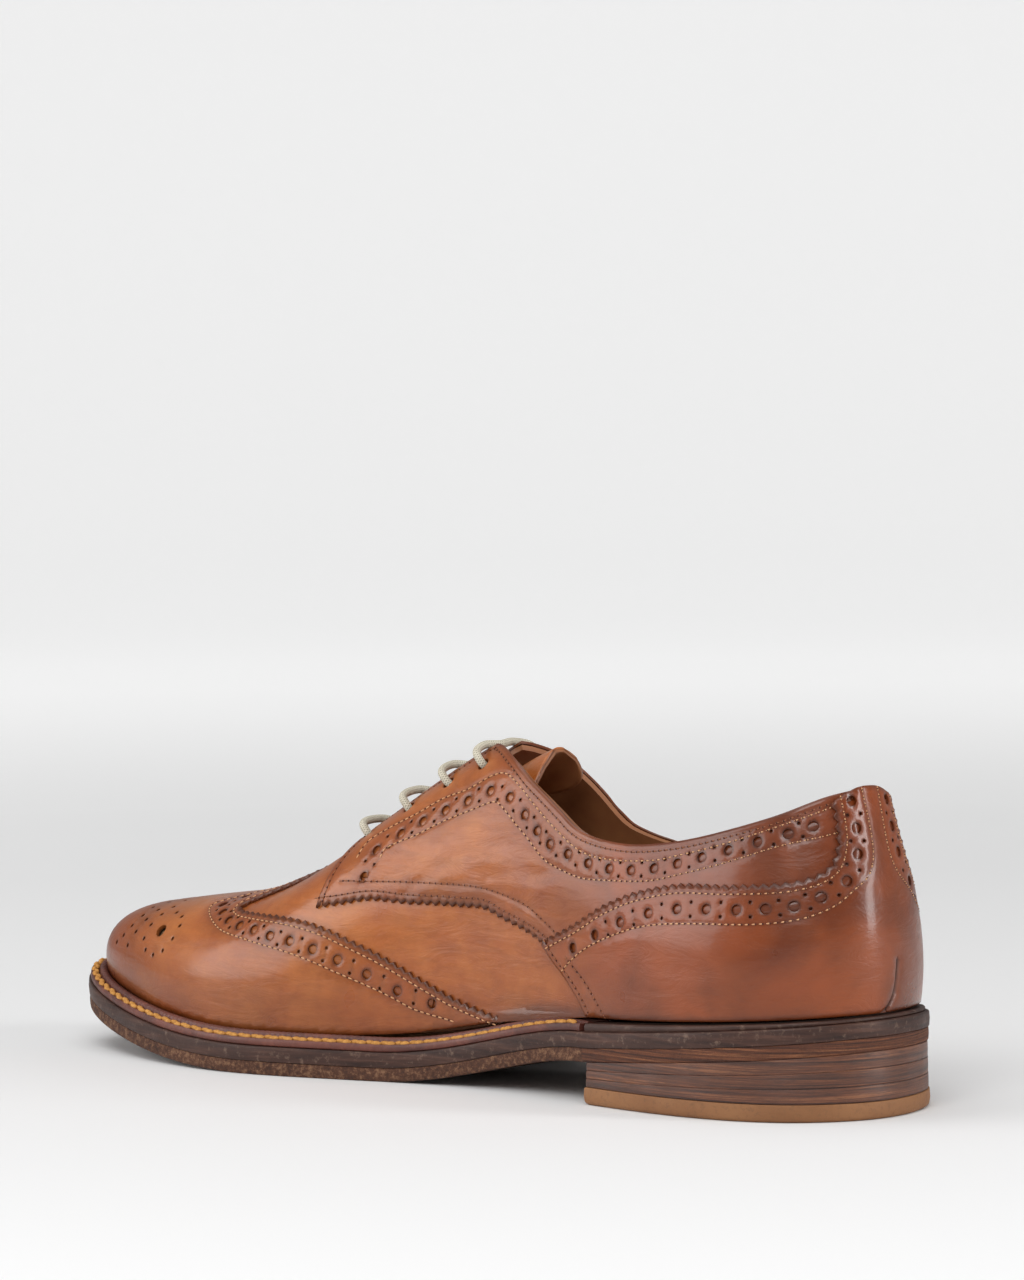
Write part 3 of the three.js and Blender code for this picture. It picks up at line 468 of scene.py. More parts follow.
def rough_sole():
    """Outsole: rough and granular at the edge, but sanded with the stack above the heel."""
    f = Finish("granular_brown_sole", roughness=0.85)
    grain = f.cloud(560, 5, rough=0.78)
    dye = f.ramp(grain, [(0.34, "#22120C"), (0.5, "#54321F"), (0.66, "#9A7253")])
    dye = f.blend(0.35, dye, f.ramp(f.cloud(28, 3), [(0.3, "#3E2318"), (0.7, "#5E3B2B")]))
    split = f.tree.nodes.new("ShaderNodeSeparateXYZ")
    f.join(f.place, split.inputs[0])
    over_heel = f.ramp(f.sum(f.sum(split.outputs["X"], HEEL_FRONT, "SUBTRACT"), 100.0, "MULTIPLY"),
                       [(0.0, 1.0), (0.1, 0.0)])
    f.colour(f.blend(over_heel, dye, stack_colour(f)[1]))
    f.relief(grain, 0.6, 0.0007)
    f.relief(f.cells(700), 0.3, 0.0004)
    return f.material


def stacked_leather():
    """Heel lifts: layers of sole leather, sanded and stained."""
    f = Finish("stacked_heel_leather", coat=0.15, coat_roughness=0.3)
    layer, dye = stack_colour(f)
    f.colour(dye)
    f.gloss(f.ramp(f.cloud(90, 3), [(0.3, 0.36), (0.7, 0.58)]))
    f.relief(layer, 0.45, 0.0005)
    f.relief(f.cloud(700, 3, rough=0.7), 0.2, 0.00015)
    return f.material


def tan_rubber():
    """Top piece, gum rubber."""
    f = Finish("tan_gum_rubber", roughness=0.66)
    dye = f.ramp(f.cloud(40, 4), [(0.3, "#825532"), (0.7, "#9A6B43")])
    scuff = f.ramp(f.cloud(620, 4, rough=0.75), [(0.52, 0.0), (0.7, 0.55)])
    f.colour(f.blend(scuff, dye, "#6B4A30"))
    f.relief(f.cloud(800, 3, rough=0.7), 0.35, 0.0003)
    return f.material


def welt_leather():
    """Storm welt, dark red brown."""
    f = Finish("dark_red_welt", coat=0.2, coat_roughness=0.35)
    dye = f.ramp(f.cloud(70, 4), [(0.3, "#45201A"), (0.7, "#733C2E")])
    f.colour(f.blend(f.ramp(f.cloud(500, 4, rough=0.7), [(0.5, 0.0), (0.75, 0.5)]), dye, "#8A5240"))
    f.gloss(f.ramp(f.cloud(150, 3), [(0.3, 0.42), (0.7, 0.6)]))
    f.relief(f.cloud(650, 4, rough=0.7), 0.4, 0.0003)
    return f.material


print("over the heel the outsole is sanded with the stack, up to x =", HEEL_FRONT)

# %% [markdown]
# ## Cord, thread and hidden parts
# The lace is braided, so its finish follows the map laid along the cord. Thread, board, cork and
# steel are quiet two-tone finishes that differ only in their colours and grain.

# %% Finishes of cord and thread


def plain_finish(name, low, high, scale, roughness, metallic=0.0, depth=0.0002):
    """A quiet two-tone finish for cloth, board, cork, thread and steel."""
    f = Finish(name, roughness=roughness, metallic=metallic)
    grain = f.cloud(scale, 4, rough=0.65)
    f.colour(f.ramp(grain, [(0.3, low), (0.7, high)]))
    f.relief(grain, 0.3, depth)
    return f.material


def braided_cord():
    """Waxed round lace: a tight braid that follows the lace's own map."""
    f = Finish("waxed_round_lace", roughness=0.6)
    around = f.tree.nodes.new("ShaderNodeUVMap")
    around.uv_map = "route"
    parts = []
    for turn in (1, -1):
        wave = f.tree.nodes.new("ShaderNodeTexWave")
        wave.inputs["Scale"].default_value = 1.0
        wave.inputs["Distortion"].default_value = 0.0
        f.join(f.stretch((8.0, 6.2832 * turn / 2, 1), around.outputs["UV"]), wave.inputs["Vector"])
        wave.bands_direction = "DIAGONAL"
        parts.append(wave.outputs["Fac"])
    strand = f.sum(parts[0], parts[1], "MAXIMUM")
    # The braid is lighter on its strands and darker between them: painted shade in the grooves of the braid.
    braid_shade = f.ramp(strand, [(0.2, "#8F8774"), (0.6, "#C6BEA9"), (1.0, "#DDD6C4")])
    f.colour(f.blend(f.ramp(f.cloud(300, 3), [(0.4, 0.0), (0.7, 0.35)]), braid_shade, "#A79D88"))
    f.relief(strand, 0.5, 0.0003)
    return f.material


FINISH = {
    "tan_leather": tan_calf(), "lining_leather": brown_lining(), "dark_edge": waxed_edge(),
    "rough_sole": rough_sole(), "stacked_leather": stacked_leather(), "tan_rubber": tan_rubber(),
    "welt_leather": welt_leather(), "lace_cord": braided_cord(),
    "leatherboard": plain_finish("leatherboard", "#6E5236", "#8F6E4C", 300, 0.85),
    "thread": plain_finish("ochre_welt_thread", "#A9702A", "#D2984A", 900, 0.7),
    "upper_thread": plain_finish("pale_tan_thread", "#BE8558", "#DFAE80", 1200, 0.65),
    "dark_thread": plain_finish("tan_brown_thread", "#7A4426", "#9E6038", 1200, 0.65),
    # The prick is a dark bead at each needle hole: painted shade of the hole.
    "needle": plain_finish("needle_hole_shade", "#3E170D", "#562416", 900, 0.8),
    "steel": plain_finish("pressed_steel_tip", "#8A8784", "#B4B1AC", 400, 0.35, 1.0, 0.00002),
    "cork": plain_finish("ground_cork", "#6E4E30", "#A58358", 260, 0.95)}
print("finishes", sorted(FINISH))

# %% [markdown]
# ## Lines on a pattern
# A clicker cuts each panel from a flat pattern and marks the stitch rows on it. The same is done
# here: a line is a smooth run through a few marks in pattern units, and distances across it are
# measured on the last, in millimetres, with the local slopes of the surface.

# %% Drawing on the pattern


def smooth(points, each=14):
    """A smooth run through a few marks."""
    p = np.asarray(points, float)
    if len(p) < 3:
        return p[0] + (p[-1] - p[0]) * np.linspace(0, 1, each + 1)[:, None]
    p = np.vstack([p[:1], p, p[-1:]])
    t = np.linspace(0, 1, each, endpoint=False)[:, None]
    out = []
    for a, b, c, d in zip(p, p[1:], p[2:], p[3:]):
        v0, v1 = (c - a) / 2, (d - b) / 2
        out.append((2 * b - 2 * c + v0 + v1) * t ** 3 + (-3 * b + 3 * c - 2 * v0 - v1) * t * t + v0 * t + b)
    return np.vstack(out + [p[-1:]])


def walk(at, line, pitch):
    """Even steps along a pattern line, measured on the last."""
    length = run_of(at(line))
    count = max(2, int(round(length[-1] / pitch)))
    stops = np.linspace(0, length[-1], count + 1)
    return np.column_stack([np.interp(stops, length, line[:, k]) for k in range(2)])


def move(at, q, vector):
    """Pattern points after a small move on the last, in millimetres."""
    j = slopes(at, q)
    g = np.einsum("nki,nkj->nij", j, j)
    return q + np.linalg.solve(g, np.einsum("nki,nk->ni", j, vector)[..., None])[..., 0]


def beside(at, line, distance):
    """A line beside another, to its right by a distance on the last."""
    t = np.gradient(line, axis=0)
    j = slopes(at, line)
    ahead = np.einsum("nki,ni->nk", j, t)
    ahead /= np.linalg.norm(ahead, axis=1, keepdims=True)
    right = np.einsum("nki,ni->nk", j, np.column_stack([t[:, 1], -t[:, 0]]))
    right -= (right * ahead).sum(1, keepdims=True) * ahead
    right /= np.linalg.norm(right, axis=1, keepdims=True)
    return move(at, line, right * np.broadcast_to(distance, len(line))[:, None])


def gimped(at, line, outside, pitch=3.1, depth=1.5):
    """A pinked edge: even teeth, valley and point in turn."""
    run = walk(at, line, pitch / 2)
    run = run[: len(run) - 1 + len(run) % 2]
    teeth = np.where(np.arange(len(run)) % 2 == 0, -0.5, 0.5) * depth * outside
    return beside(at, run, teeth)


def disc(at, spot, radius, sides):
    """A round hole on the last, drawn in pattern units."""
    q = np.repeat(np.asarray([spot], float), sides, axis=0)
    j = slopes(at, q)
    e1 = j[..., 0] / np.linalg.norm(j[..., 0], axis=1, keepdims=True)
    n = np.cross(j[..., 0], j[..., 1])
    n /= np.linalg.norm(n, axis=1, keepdims=True)
    e2 = np.cross(n, e1)
    turn = 2 * np.pi * np.arange(sides) / sides
    return move(at, q, radius * (np.cos(turn)[:, None] * e1 + np.sin(turn)[:, None] * e2))


def inside(points, loop):
    """Which points lie inside a closed loop."""
    x, y = points[:, 0][:, None], points[:, 1][:, None]
    x0, y0 = loop[:, 0][None], loop[:, 1][None]
    x1, y1 = np.roll(loop[:, 0], -1)[None], np.roll(loop[:, 1], -1)[None]
    with np.errstate(divide="ignore", invalid="ignore"):
        cross = ((y0 > y) != (y1 > y)) & (x < (x1 - x0) * (y - y0) / (y1 - y0) + x0)
    return cross.sum(1) % 2 == 1


def nearest(points, marks):
    """Distance from each point to the nearest mark."""
    if len(marks) == 0:
        return np.full(len(points), 1e9)
    out = np.empty(len(points))
    for i in range(0, len(points), 2000):
        part = points[i:i + 2000]
        out[i:i + 2000] = np.sqrt(((part[:, None] - marks[None]) ** 2).sum(-1)).min(1)
    return out


def ease(x, a, b):
    """0 before a, 1 after b, smooth between."""
    t = np.clip((np.asarray(x, float) - a) / (b - a), 0, 1)
    return t * t * (3 - 2 * t)


# %% Making a mesh piece


def metres(places):
    """Millimetres on the last's frame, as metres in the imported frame."""
    return (np.asarray(places) - CENTRE) * 0.001


def outward(obj):
    """Turn every face of a closed piece outwards."""
    work = bmesh.new()
    work.from_mesh(obj.data)
    bmesh.ops.recalc_face_normals(work, faces=work.faces)
    work.to_mesh(obj.data)
    work.free()


def bands(rows, across, ends=False):
    """Faces between neighbouring rings of points, closed round each ring and, if asked, at both ends."""
    faces = []
    for i in range(rows - 1):
        for k in range(across):
            a, b = i * across + k, i * across + (k + 1) % across
            faces.append((a, b, b + across, a + across))
    if ends:
        faces.append(tuple(range(across))[::-1])
        faces.append(tuple((rows - 1) * across + k for k in range(across)))
    return faces


def piece(name, places, faces, finish, body="shoe body", sharp=None, marks=None):
    """A finished piece: places in millimetres on the last's frame, faces by index."""
    mesh = bpy.data.meshes.new(name)
    mesh.from_pydata(metres(places).tolist(), [], [tuple(map(int, f)) for f in faces])
    mesh.polygons.foreach_set("use_smooth", [True] * len(mesh.polygons))
    for key, values in (marks or {}).items():
        layer = mesh.attributes.new(key, "FLOAT", "POINT")
        layer.data.foreach_set("value", np.asarray(values, np.float32))
    mesh.update()
    if sharp is not None:
        mesh.set_sharp_from_angle(angle=math.radians(sharp))
    obj = bpy.data.objects.new(name, mesh)
    bpy.context.scene.collection.objects.link(obj)
    mesh.materials.append(FINISH[finish])
    if body:
        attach(obj, body)
    return obj


print("pieces are drawn round", CENTRE, "mm")


# %% [markdown]
# ## Cut leather panels
# A panel is a thin sheet with a thickness you can see at its raw edge, so each one is made as a closed body.
# The outline and the punched holes become fixed edges of one triangulation, and points along the stitch rows
# are added to it, which keeps every tooth of the pinking and every hole crisp. The skin then sinks a little
# at the rows and rolls over at its edges, as pulled and hammered leather does.

# %% Cutting a sheet


def loop_in(at, loop, distance):
    """The same loop, a little further in (loops run anticlockwise)."""
    run = beside(at, np.vstack([loop[-1:], loop, loop[:1]]), -distance)
    return run[1:-1]


def dense(loop, pitch):
    """Marks close together round a loop."""
    ends = np.vstack([loop[1:], loop[:1]])
    out = []
    for a, b in zip(loop, ends):
        out.append(a + (b - a) * np.arange(0, 1, pitch / max(pitch, np.hypot(*(b - a))))[:, None])
    return np.vstack(out)


BIG = 1.2


def cut_sheet(at, loop, scale, holes, lines, step):
    """Triangles over a loop with holes, with points along the lines: flat points and triangles."""
    rings = [disc(at, (a, b), r, 12 if r > BIG else 7) for a, b, r in holes]
    soft = [loop_in(at, loop, 0.5)]
    for (a, b, r), ring in zip(holes, rings):
        soft.append(disc(at, (a, b), r + (0.75 if r > BIG else 0.4), len(ring)))
        if r > BIG:
            soft.append(disc(at, (a, b), r + 1.7, 12))
    for line in lines:
        run = walk(at, line, 1.5)
        soft += [run, beside(at, run, 0.8), beside(at, run, -0.8)]
    low, high = (loop * scale).min(0), (loop * scale).max(0)
    xs, ys = np.arange(low[0], high[0], step), np.arange(low[1], high[1], step * 0.87)
    grid = np.array([(x + (k % 2) * step / 2, y) for k, y in enumerate(ys) for x in xs])
    hard = np.vstack([loop * scale] + [r * scale for r in rings])
    grid = grid[inside(grid, loop * scale) & (nearest(grid, hard) > step * 0.55)]
    marks = np.vstack(soft) * scale
    marks = marks[inside(marks, loop * scale) & (nearest(marks, hard) > 0.28)]
    grid = grid[nearest(grid, marks) > step * 0.45]
    for ring in rings:
        marks = marks[~inside(marks, ring * scale)]
        grid = grid[~inside(grid, ring * scale)]
    edges, start = [], 0
    for ring in [loop] + rings:
        n = len(ring)
        edges += [(start + i, start + (i + 1) % n) for i in range(n)]
        start += n
    result = delaunay_2d_cdt([Vector(p) for p in np.vstack([hard, marks, grid])], edges, [], 0, 1e-5)
    points = np.array([tuple(p) for p in result[0]])
    triangles = np.array([list(f) for f in result[2]])
    centre = points[triangles].mean(1)
    good = inside(centre, loop * scale)
    for ring in rings:
        around = ring * scale
        near = np.abs(centre - around.mean(0)).max(1) < 6
        good[near] &= ~inside(centre[near], around)
    triangles = triangles[good]
    used = np.unique(triangles)
    renumber = np.full(len(points), -1)
    renumber[used] = np.arange(len(used))
    return points[used], renumber[triangles]


print("holes wider than", 2 * BIG, "mm count as big")

# %% Wax and painted shade


def fade(distance, reach, power=2):
    """1 on a line, fading away from it."""
    return np.exp(-(distance / reach) ** power)


def sink_wax_and_shade(at, points, scale, to_edge, edge_dark, holes, rows, grooves, teeth):
    """How deep the skin sinks, and how dark it is made, at each flat point: wax at the edges and teeth,
    painted shade round the holes, along the pressed rows and in the grooves.
    """
    sink = np.zeros(len(points))
    wax_and_shade = fade(to_edge, edge_dark) * 0.4
    for line in teeth:
        wax_and_shade = np.maximum(wax_and_shade, 0.7 * fade(nearest(points, walk(at, line, 0.5) * scale), 1.05, 3))
    # Round each hole the skin sinks, and it is darkened there as painted shade of the dimple.
    for big, size, depth, slope, hole_shade, spread in ((True, 1.5, 0.26, 0.6, 0.62, 0.5),
                                                   (False, 0.52, 0.14, 0.4, 0.6, 0.3)):
        spots = np.array([(a, b) for a, b, r in holes if (r > BIG) == big]).reshape(-1, 2) * scale
        reach = (nearest(points, spots) - size).clip(0)
        sink += depth * fade(reach, slope)
        wax_and_shade = np.maximum(wax_and_shade, hole_shade * fade(reach, spread))
    # Along pressed rows and grooves the skin sinks, and it is darkened there as painted shade.
    if len(rows) + len(grooves):
        pressed = [walk(at, line, 1.5) for line in list(rows) + list(grooves)]
        reach = nearest(points, np.vstack(pressed) * scale)
        sink += 0.2 * fade(reach, 0.6)
        wax_and_shade = np.maximum(wax_and_shade, 0.30 * fade(reach, 0.8))
    # The dart groove sinks deeper and is darkened more: painted shade in the groove.
    if grooves:
        reach = nearest(points, np.vstack([walk(at, line, 0.5) for line in grooves]) * scale)
        sink += 0.5 * fade(reach, 0.55)
        wax_and_shade = np.maximum(wax_and_shade, 0.85 * fade(reach, 0.5))
    return sink, wax_and_shade


# Wax darkens the edges and teeth; the darkening round holes, along stitch rows and in grooves is painted
# shade.
print("wax gathers at edges, teeth, holes and stitch rows")

# %% Panel maker


def panel(name, at, outline, height, thick, holes=(), rows=(), step=2.0, round_edge=0.45,
          finish="tan_leather", shade=None, edge_dark=1.3, teeth=(), grooves=()):
    """A closed leather sheet. outline: pattern loop; holes: (a, b, radius); rows, grooves: pressed in."""
    loop = np.asarray(outline, float)
    middle = slopes(at, loop)
    scale = np.median(np.linalg.norm(middle, axis=1), axis=0)
    area = (loop[:, 0] * np.roll(loop[:, 1], -1) - np.roll(loop[:, 0], -1) * loop[:, 1]).sum()
    if area < 0:
        loop = loop[::-1]
    points, triangles = cut_sheet(at, loop, scale, holes, list(rows) + list(grooves), step)
    q = points / scale
    n = len(q)
    top_height = height(q) if callable(height) else np.full(n, float(height))
    to_edge = nearest(points, dense(loop * scale, 0.5))
    share = 1 - np.clip(to_edge / max(round_edge, 0.01), 0, 1)
    sink, wax_and_shade = sink_wax_and_shade(at, points, scale, to_edge, edge_dark, holes, rows, grooves, teeth)
    top = top_height - round_edge * (1 - np.sqrt(1 - share ** 2)) * 0.8 - sink
    # Mixed in: the toe's wax, and a band low by the welt that is partly wax and partly painted shade.
    if shade is not None:
        wax_and_shade = 1 - (1 - wax_and_shade) * (1 - shade(q, off(at, q, 0)))
    upper = off(at, q, top)
    lower = off(at, q, top_height - thick)
    corner = upper[triangles]
    normal = np.cross(corner[:, 1] - corner[:, 0], corner[:, 2] - corner[:, 0])
    if np.median((normal * (upper - lower)[triangles[:, 0]]).sum(1)) < 0:
        triangles = triangles[:, ::-1]
    sides = {(a, b) for t in triangles.tolist() for a, b in zip(t, t[1:] + t[:1])}
    rim = [(a, b) for a, b in sorted(sides) if (b, a) not in sides]
    faces = [tuple(t) for t in triangles] + [tuple(n + t[::-1]) for t in triangles]
    faces += [(b, a, n + a, n + b) for a, b in rim]
    # The lower skin, and with it the raw edges and hole walls, is darkened to at least 0.6: the cut edges'
    # own darker colour, and painted shade in the holes and on the inner face.
    marks = {"wax_and_painted_shade": np.concatenate([wax_and_shade, np.maximum(wax_and_shade, 0.6)])}
    if shade is not None:
        deep = np.maximum(dye_depth(upper), 0.5 * fade(to_edge, 4.5))
        band = np.array([(a, b) for a, b, r in holes if BIG < r < 1.6]).reshape(-1, 2) * scale
        marks["deep"] = np.tile(np.maximum(deep, 0.65 * fade(nearest(points, band), 5.5)), 2)
        marks["slack"] = np.tile(slack(q) if at is on_skin else 0 * wax_and_shade, 2)
    return piece(name, np.vstack([upper, lower]), faces, finish, sharp=48, marks=marks)


def pairs_between(at, row, gap=1.95, radius=0.5):
    """Two small punches, one above the other, half way between neighbouring big ones."""
    out = []
    for a, b in zip(row, row[1:]):
        middle = np.array([(np.asarray(a) + np.asarray(b)) / 2])
        along = at(np.array([b], float)) - at(np.array([a], float))
        j = slopes(at, middle)
        n = np.cross(j[..., 0], j[..., 1])
        across = np.cross(n, along)
        across /= np.linalg.norm(across)
        for turn in (-1, 1):
            spot = move(at, middle, across * turn * gap)[0]
            out.append((*spot, radius))
    return out


# %% [markdown]
# ## The outer side
# The collar dips lower under the outer ankle bone, and the foxing is cut lower to match. Marks are
# made once, for the inner side, and are moved down to the outer side in proportion.

# %% Edges of quarters and foxing
QUARTER_LOW = [[212, 0.456], [203, 0.43], [192, 0.406], [177, 0.353], [159, 0.313], [148, 0.296],
               [140, 0.266], [130, 0.236], [121, 0.2], [112, 0.175], [98, 0.22], [80, 0.32], [60, 0.39],
               [42, 0.405], [28, 0.41], [14, 0.43], [1, 0.45]]
REAR_LOW_OUTER = [[121, 0.2], [110, 0.165], [96, 0.175], [80, 0.24], [60, 0.29], [42, 0.32],
                  [28, 0.35], [14, 0.40], [1, 0.45]]
FACING = [[212, 0.456], [212, 0.55], [211.5, 0.64], [209.5, 0.745], [206, 0.825], [200.5, 0.862],
          [186, 0.895], [171, 0.92], [158.5, 0.945]]
COLLAR = [[158.5, 0.945], [154.5, 0.905], [147.5, 0.828], [141, 0.768], [135, 0.722], [129, 0.69],
          [120.5, 0.65], [109, 0.605], [92, 0.618], [74, 0.668], [52, 0.744], [37, 0.792], [20, 0.85],
          [1, 0.874]]
COLLAR_OUTER = [[158.5, 0.945], [154, 0.87], [150, 0.79], [144, 0.67], [136, 0.545], [128, 0.505],
                [112, 0.494], [92, 0.51], [74, 0.55], [52, 0.64], [37, 0.715], [20, 0.81], [1, 0.874]]
FOX_TOP = [[122, 0.205], [108, 0.275], [95, 0.37], [82, 0.45], [66, 0.51], [48, 0.52], [30, 0.53],
           [19.9, 0.574], [16.8, 0.66], [17, 0.75], [18.5, 0.852]]
FOX_TOP_OUTER = [[122, 0.205], [108, 0.245], [95, 0.30], [82, 0.345], [66, 0.385], [48, 0.415], [30, 0.455],
                 [19.9, 0.53], [16.8, 0.65], [17, 0.75], [18.5, 0.83]]


def level(line, s):
    """Height v of a rising or falling edge at distance s from the back seam."""
    run = smooth(line)[::-1]
    return np.interp(s, run[:, 0], run[:, 1])


def to_side(marks, side):
    """Inner marks as they are, or moved to the outer side."""
    q = np.array(marks, float)[:, :2]
    if side > 0:
        return q
    s, v = q[:, 0], q[:, 1]
    top_in, top_out = level(COLLAR, s), level(COLLAR_OUTER, s)
    fox_in = level(FOX_TOP[:6] + [[20, 0.53], [0, 0.53]], s)
    fox_out = level(FOX_TOP_OUTER[:6] + [[20, 0.47], [0, 0.53]], s)
    lower = v * fox_out / fox_in
    upper = fox_out + (v - fox_in) * (top_out - fox_out) / (top_in - fox_in)
    moved = np.where(v < fox_in, lower, upper)
    moved = np.where(s > 121, np.where(v > 0.2, 0.2 + (v - 0.2) * (top_out - 0.2) / (top_in - 0.2), v), moved)
    moved = np.where(s > 157, v, moved)
    share = ease(s, 2, 22)
    return np.column_stack([-s, v + (moved - v) * share])


def with_radius(spots, radius):
    """Marks as holes of one size."""
    return [(a, b, radius) for a, b in spots]


# %% Marks for the quarters
BAND_BIG = [(195.7, .499), (194.2, .602), (185.8, .627), (177.6, .637), (168.9, .642), (160.1, .649),
            (151.3, .669), (142.3, .642), (134.5, .589), (128.1, .546), (122.0, .516), (113.8, .506),
            (104.7, .501), (95.5, .509), (86.5, .529), (77.5, .559), (68.9, .594), (60.4, .629),
            (51.4, .662), (42, .694), (32.6, .719), (24.6, .742)]
BAND_ROW_1 = [(201.7, .617), (200.2, .687), (192, .697), (181.7, .692), (172.1, .704), (161.4, .699),
              (152, .734), (146.5, .735), (139.7, .694), (130, .627), (120.5, .577), (109, .535), (97, .540),
              (77.5, .59), (69, .625), (52, .69), (37, .745), (24, .79), (13, .825)]
BAND_ROW_2 = [(191.1, .559), (189.6, .584), (178.2, .584), (168.6, .594), (158.5, .602), (148.7, .622),
              (145.2, .609), (139.7, .566), (132.6, .519), (124.3, .464), (117, .446), (106.6, .441),
              (94.9, .466), (78.1, .509), (66.7, .556), (50.2, .619), (35.6, .672), (22, .70),
              (12, .72)]
LOW_ROW_2 = [(204.9, .524), (190.8, .461), (168.6, .391), (145.5, .343), (130.7, .308), (122.7, .273),
             (117.4, .245)]
HOLES = [(205.5, 0.785), (189, 0.785), (173.5, 0.80), (159.5, 0.815)]


def toe_wax_and_foot_shade(q, place):
    """Where the upper is darkened: the toe by the maker's wax, and a band low along the feather edge by the
    welt, partly wax and partly painted shade.
    """
    x, z = place[:, 0], place[:, 2]
    toe = 0.30 * ease(x, 240, 298)
    foot = 0.16 * (1 - ease(z, 20, 34))
    return np.clip(toe + foot, 0, 0.8)


def dye_depth(place):
    """Where the dye is redder and deeper: the heel, the toe and low on the sides."""
    x, z = place[:, 0], place[:, 2]
    heel = 0.9 * (1 - ease(x, 66, 122))
    toe = 0.9 * ease(x, 232, 290)
    foot = 0.35 * (1 - ease(z, 20, 38))
    return np.clip(np.maximum(np.maximum(heel, toe), foot), 0, 1)


def slack(q):
    """Where the leather is loose and creases, in the middle of a quarter and below the collar."""
    s, v = np.abs(q[:, 0]), q[:, 1]
    middle = ease(s, 118, 140) * (1 - ease(s, 188, 202)) * ease(v, 0.30, 0.40) * (1 - ease(v, 0.56, 0.66))
    joint = np.exp(-((s - 128) / 11) ** 2 - ((v - 0.42) / 0.12) ** 2)
    return np.maximum(middle, joint)


def folds(q):
    """Shallow folds, about 0.15 mm high, running along the quarter and drifting as they go."""
    s, b = np.abs(q[:, 0]), q[:, 1] * 70
    drift = 1.3 * np.sin(0.11 * s) + 0.5 * np.sin(0.31 * s + 1)
    return 0.2 * slack(q) * np.sin(0.95 * b + 0.16 * s + drift) * (0.6 + 0.4 * np.sin(0.27 * s + 0.2 * b))


def facing_lift(q):
    """The facings stand a little proud over the instep, near their top corners."""
    return 0.8 * ease(q[:, 1], 0.85, 0.95) * ease(np.abs(q[:, 0]), 145, 160)


print("where the upper is burnished, deep, slack or folded is worked out from a place on it")

# %% Quarters
TEETH = (3.0, 1.3)
BIG_PUNCH = 1.48
SEAT = 0.13
THREAD_STEP = 0.9
stitch_lines = {"pale": [], "dark": []}


def keep_rows(at, height, pale, dark=()):
    """Rows of stitching, lifted to the skin's face and pressed in by SEAT, kept for the thread."""
    for shade, rows in (("pale", pale), ("dark", dark)):
        for run in (walk(at, r, THREAD_STEP) for r in rows):
            stitch_lines[shade].append(off(at, run, height(run) - SEAT))


def cut_quarter(side):
    """One quarter with its band of punching, rows of stitching and lace holes."""
    name = "medial" if side > 0 else "lateral"
    turn = (lambda line: np.array(line, float) * [side, 1])
    collar = smooth(turn(COLLAR if side > 0 else COLLAR_OUTER))
    facing = smooth(turn(FACING))
    front_low = smooth(turn(QUARTER_LOW[:9]))
    rear_low = smooth(turn(QUARTER_LOW[8:] if side > 0 else REAR_LOW_OUTER))
    teeth = gimped(on_skin, front_low, side, *TEETH)
    outline = np.vstack([walk(on_skin, facing, 1.6)[1:-1], walk(on_skin, collar, 1.6),
                         walk(on_skin, rear_low, 4)[::-1], teeth[::-1]])
    band = to_side(BAND_BIG, side)
    holes = with_radius(band, BIG_PUNCH) + pairs_between(on_skin, band)
    holes += [(side * s, v, 2.0) for s, v in HOLES]
    edge_row = beside(on_skin, collar, -2.2 * side)
    pale = [smooth(to_side(BAND_ROW_1, side)), smooth(to_side(BAND_ROW_2, side))]
    dark = [beside(on_skin, facing, -2.2 * side)[2:], edge_row[2:-2], beside(on_skin, front_low, 2.2 * side),
            smooth(to_side(LOW_ROW_2, side))]
    height = lambda q: 1.35 + facing_lift(q) + folds(q)
    obj = panel("quarter_" + name + "_leather", on_skin, outline, height, 1.25, holes, pale + dark, 1.8, 0.55,
                shade=toe_wax_and_foot_shade, teeth=[front_low])
    keep_rows(on_skin, height, pale, dark)
    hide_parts("quarter_" + name)
    print(obj.name, len(obj.data.polygons), "faces", len(holes), "holes")
    return obj


quarters = [cut_quarter(1), cut_quarter(-1)]

# %% [markdown]
# ## Heel foxing
# The foxing wraps the heel in one piece and climbs the back seam as a stay. Its upper edge is
# pinked and punched, and its front edge runs down to the welt. Where it leaves the quarter and
# lies on the vamp alone it drops to one skin above it.

# %% Foxing
FOX_FRONT = [[122, 0.205], [117, 0.155], [112, 0.107], [107.5, 0.062], [104, 0.02], [103, 0.006]]
FOX_BIG = [(107.2, .208), (97.6, .266), (87.1, .331), (76.1, .386), (65.4, .419), (55.1, .429), (45.3, .431),
           (36.8, .434), (29.1, .441), (21.9, .471), (14.4, .526), (10.2, .624), (9.9, .722), (10.8, .825)]
FOX_ROW_LOW = [(112.6, .135), (101.6, .213), (91.3, .271), (81.2, .321), (71.9, .351), (63, .366),
               (54.6, .373), (39.7, .376), (30, .386), (23.8, .404), (17.5, .439), (12.7, .486),
               (6.9, .541), (4.3, .612), (3.9, .684), (4.3, .759), (5.2, .862)]
FOX_FRONT_2 = [(110, .172), (104.4, .122), (99.8, .078), (95.5, .032), (93.5, .012)]


def foxing_height(q):
    """Two skins above the vamp over the quarter, one skin where it lies on the vamp."""
    s, v = np.abs(q[:, 0]), q[:, 1]
    alone = ease(s, 84, 106) * (1 - ease(v, 0.10, 0.19))
    return 2.65 - 1.15 * alone


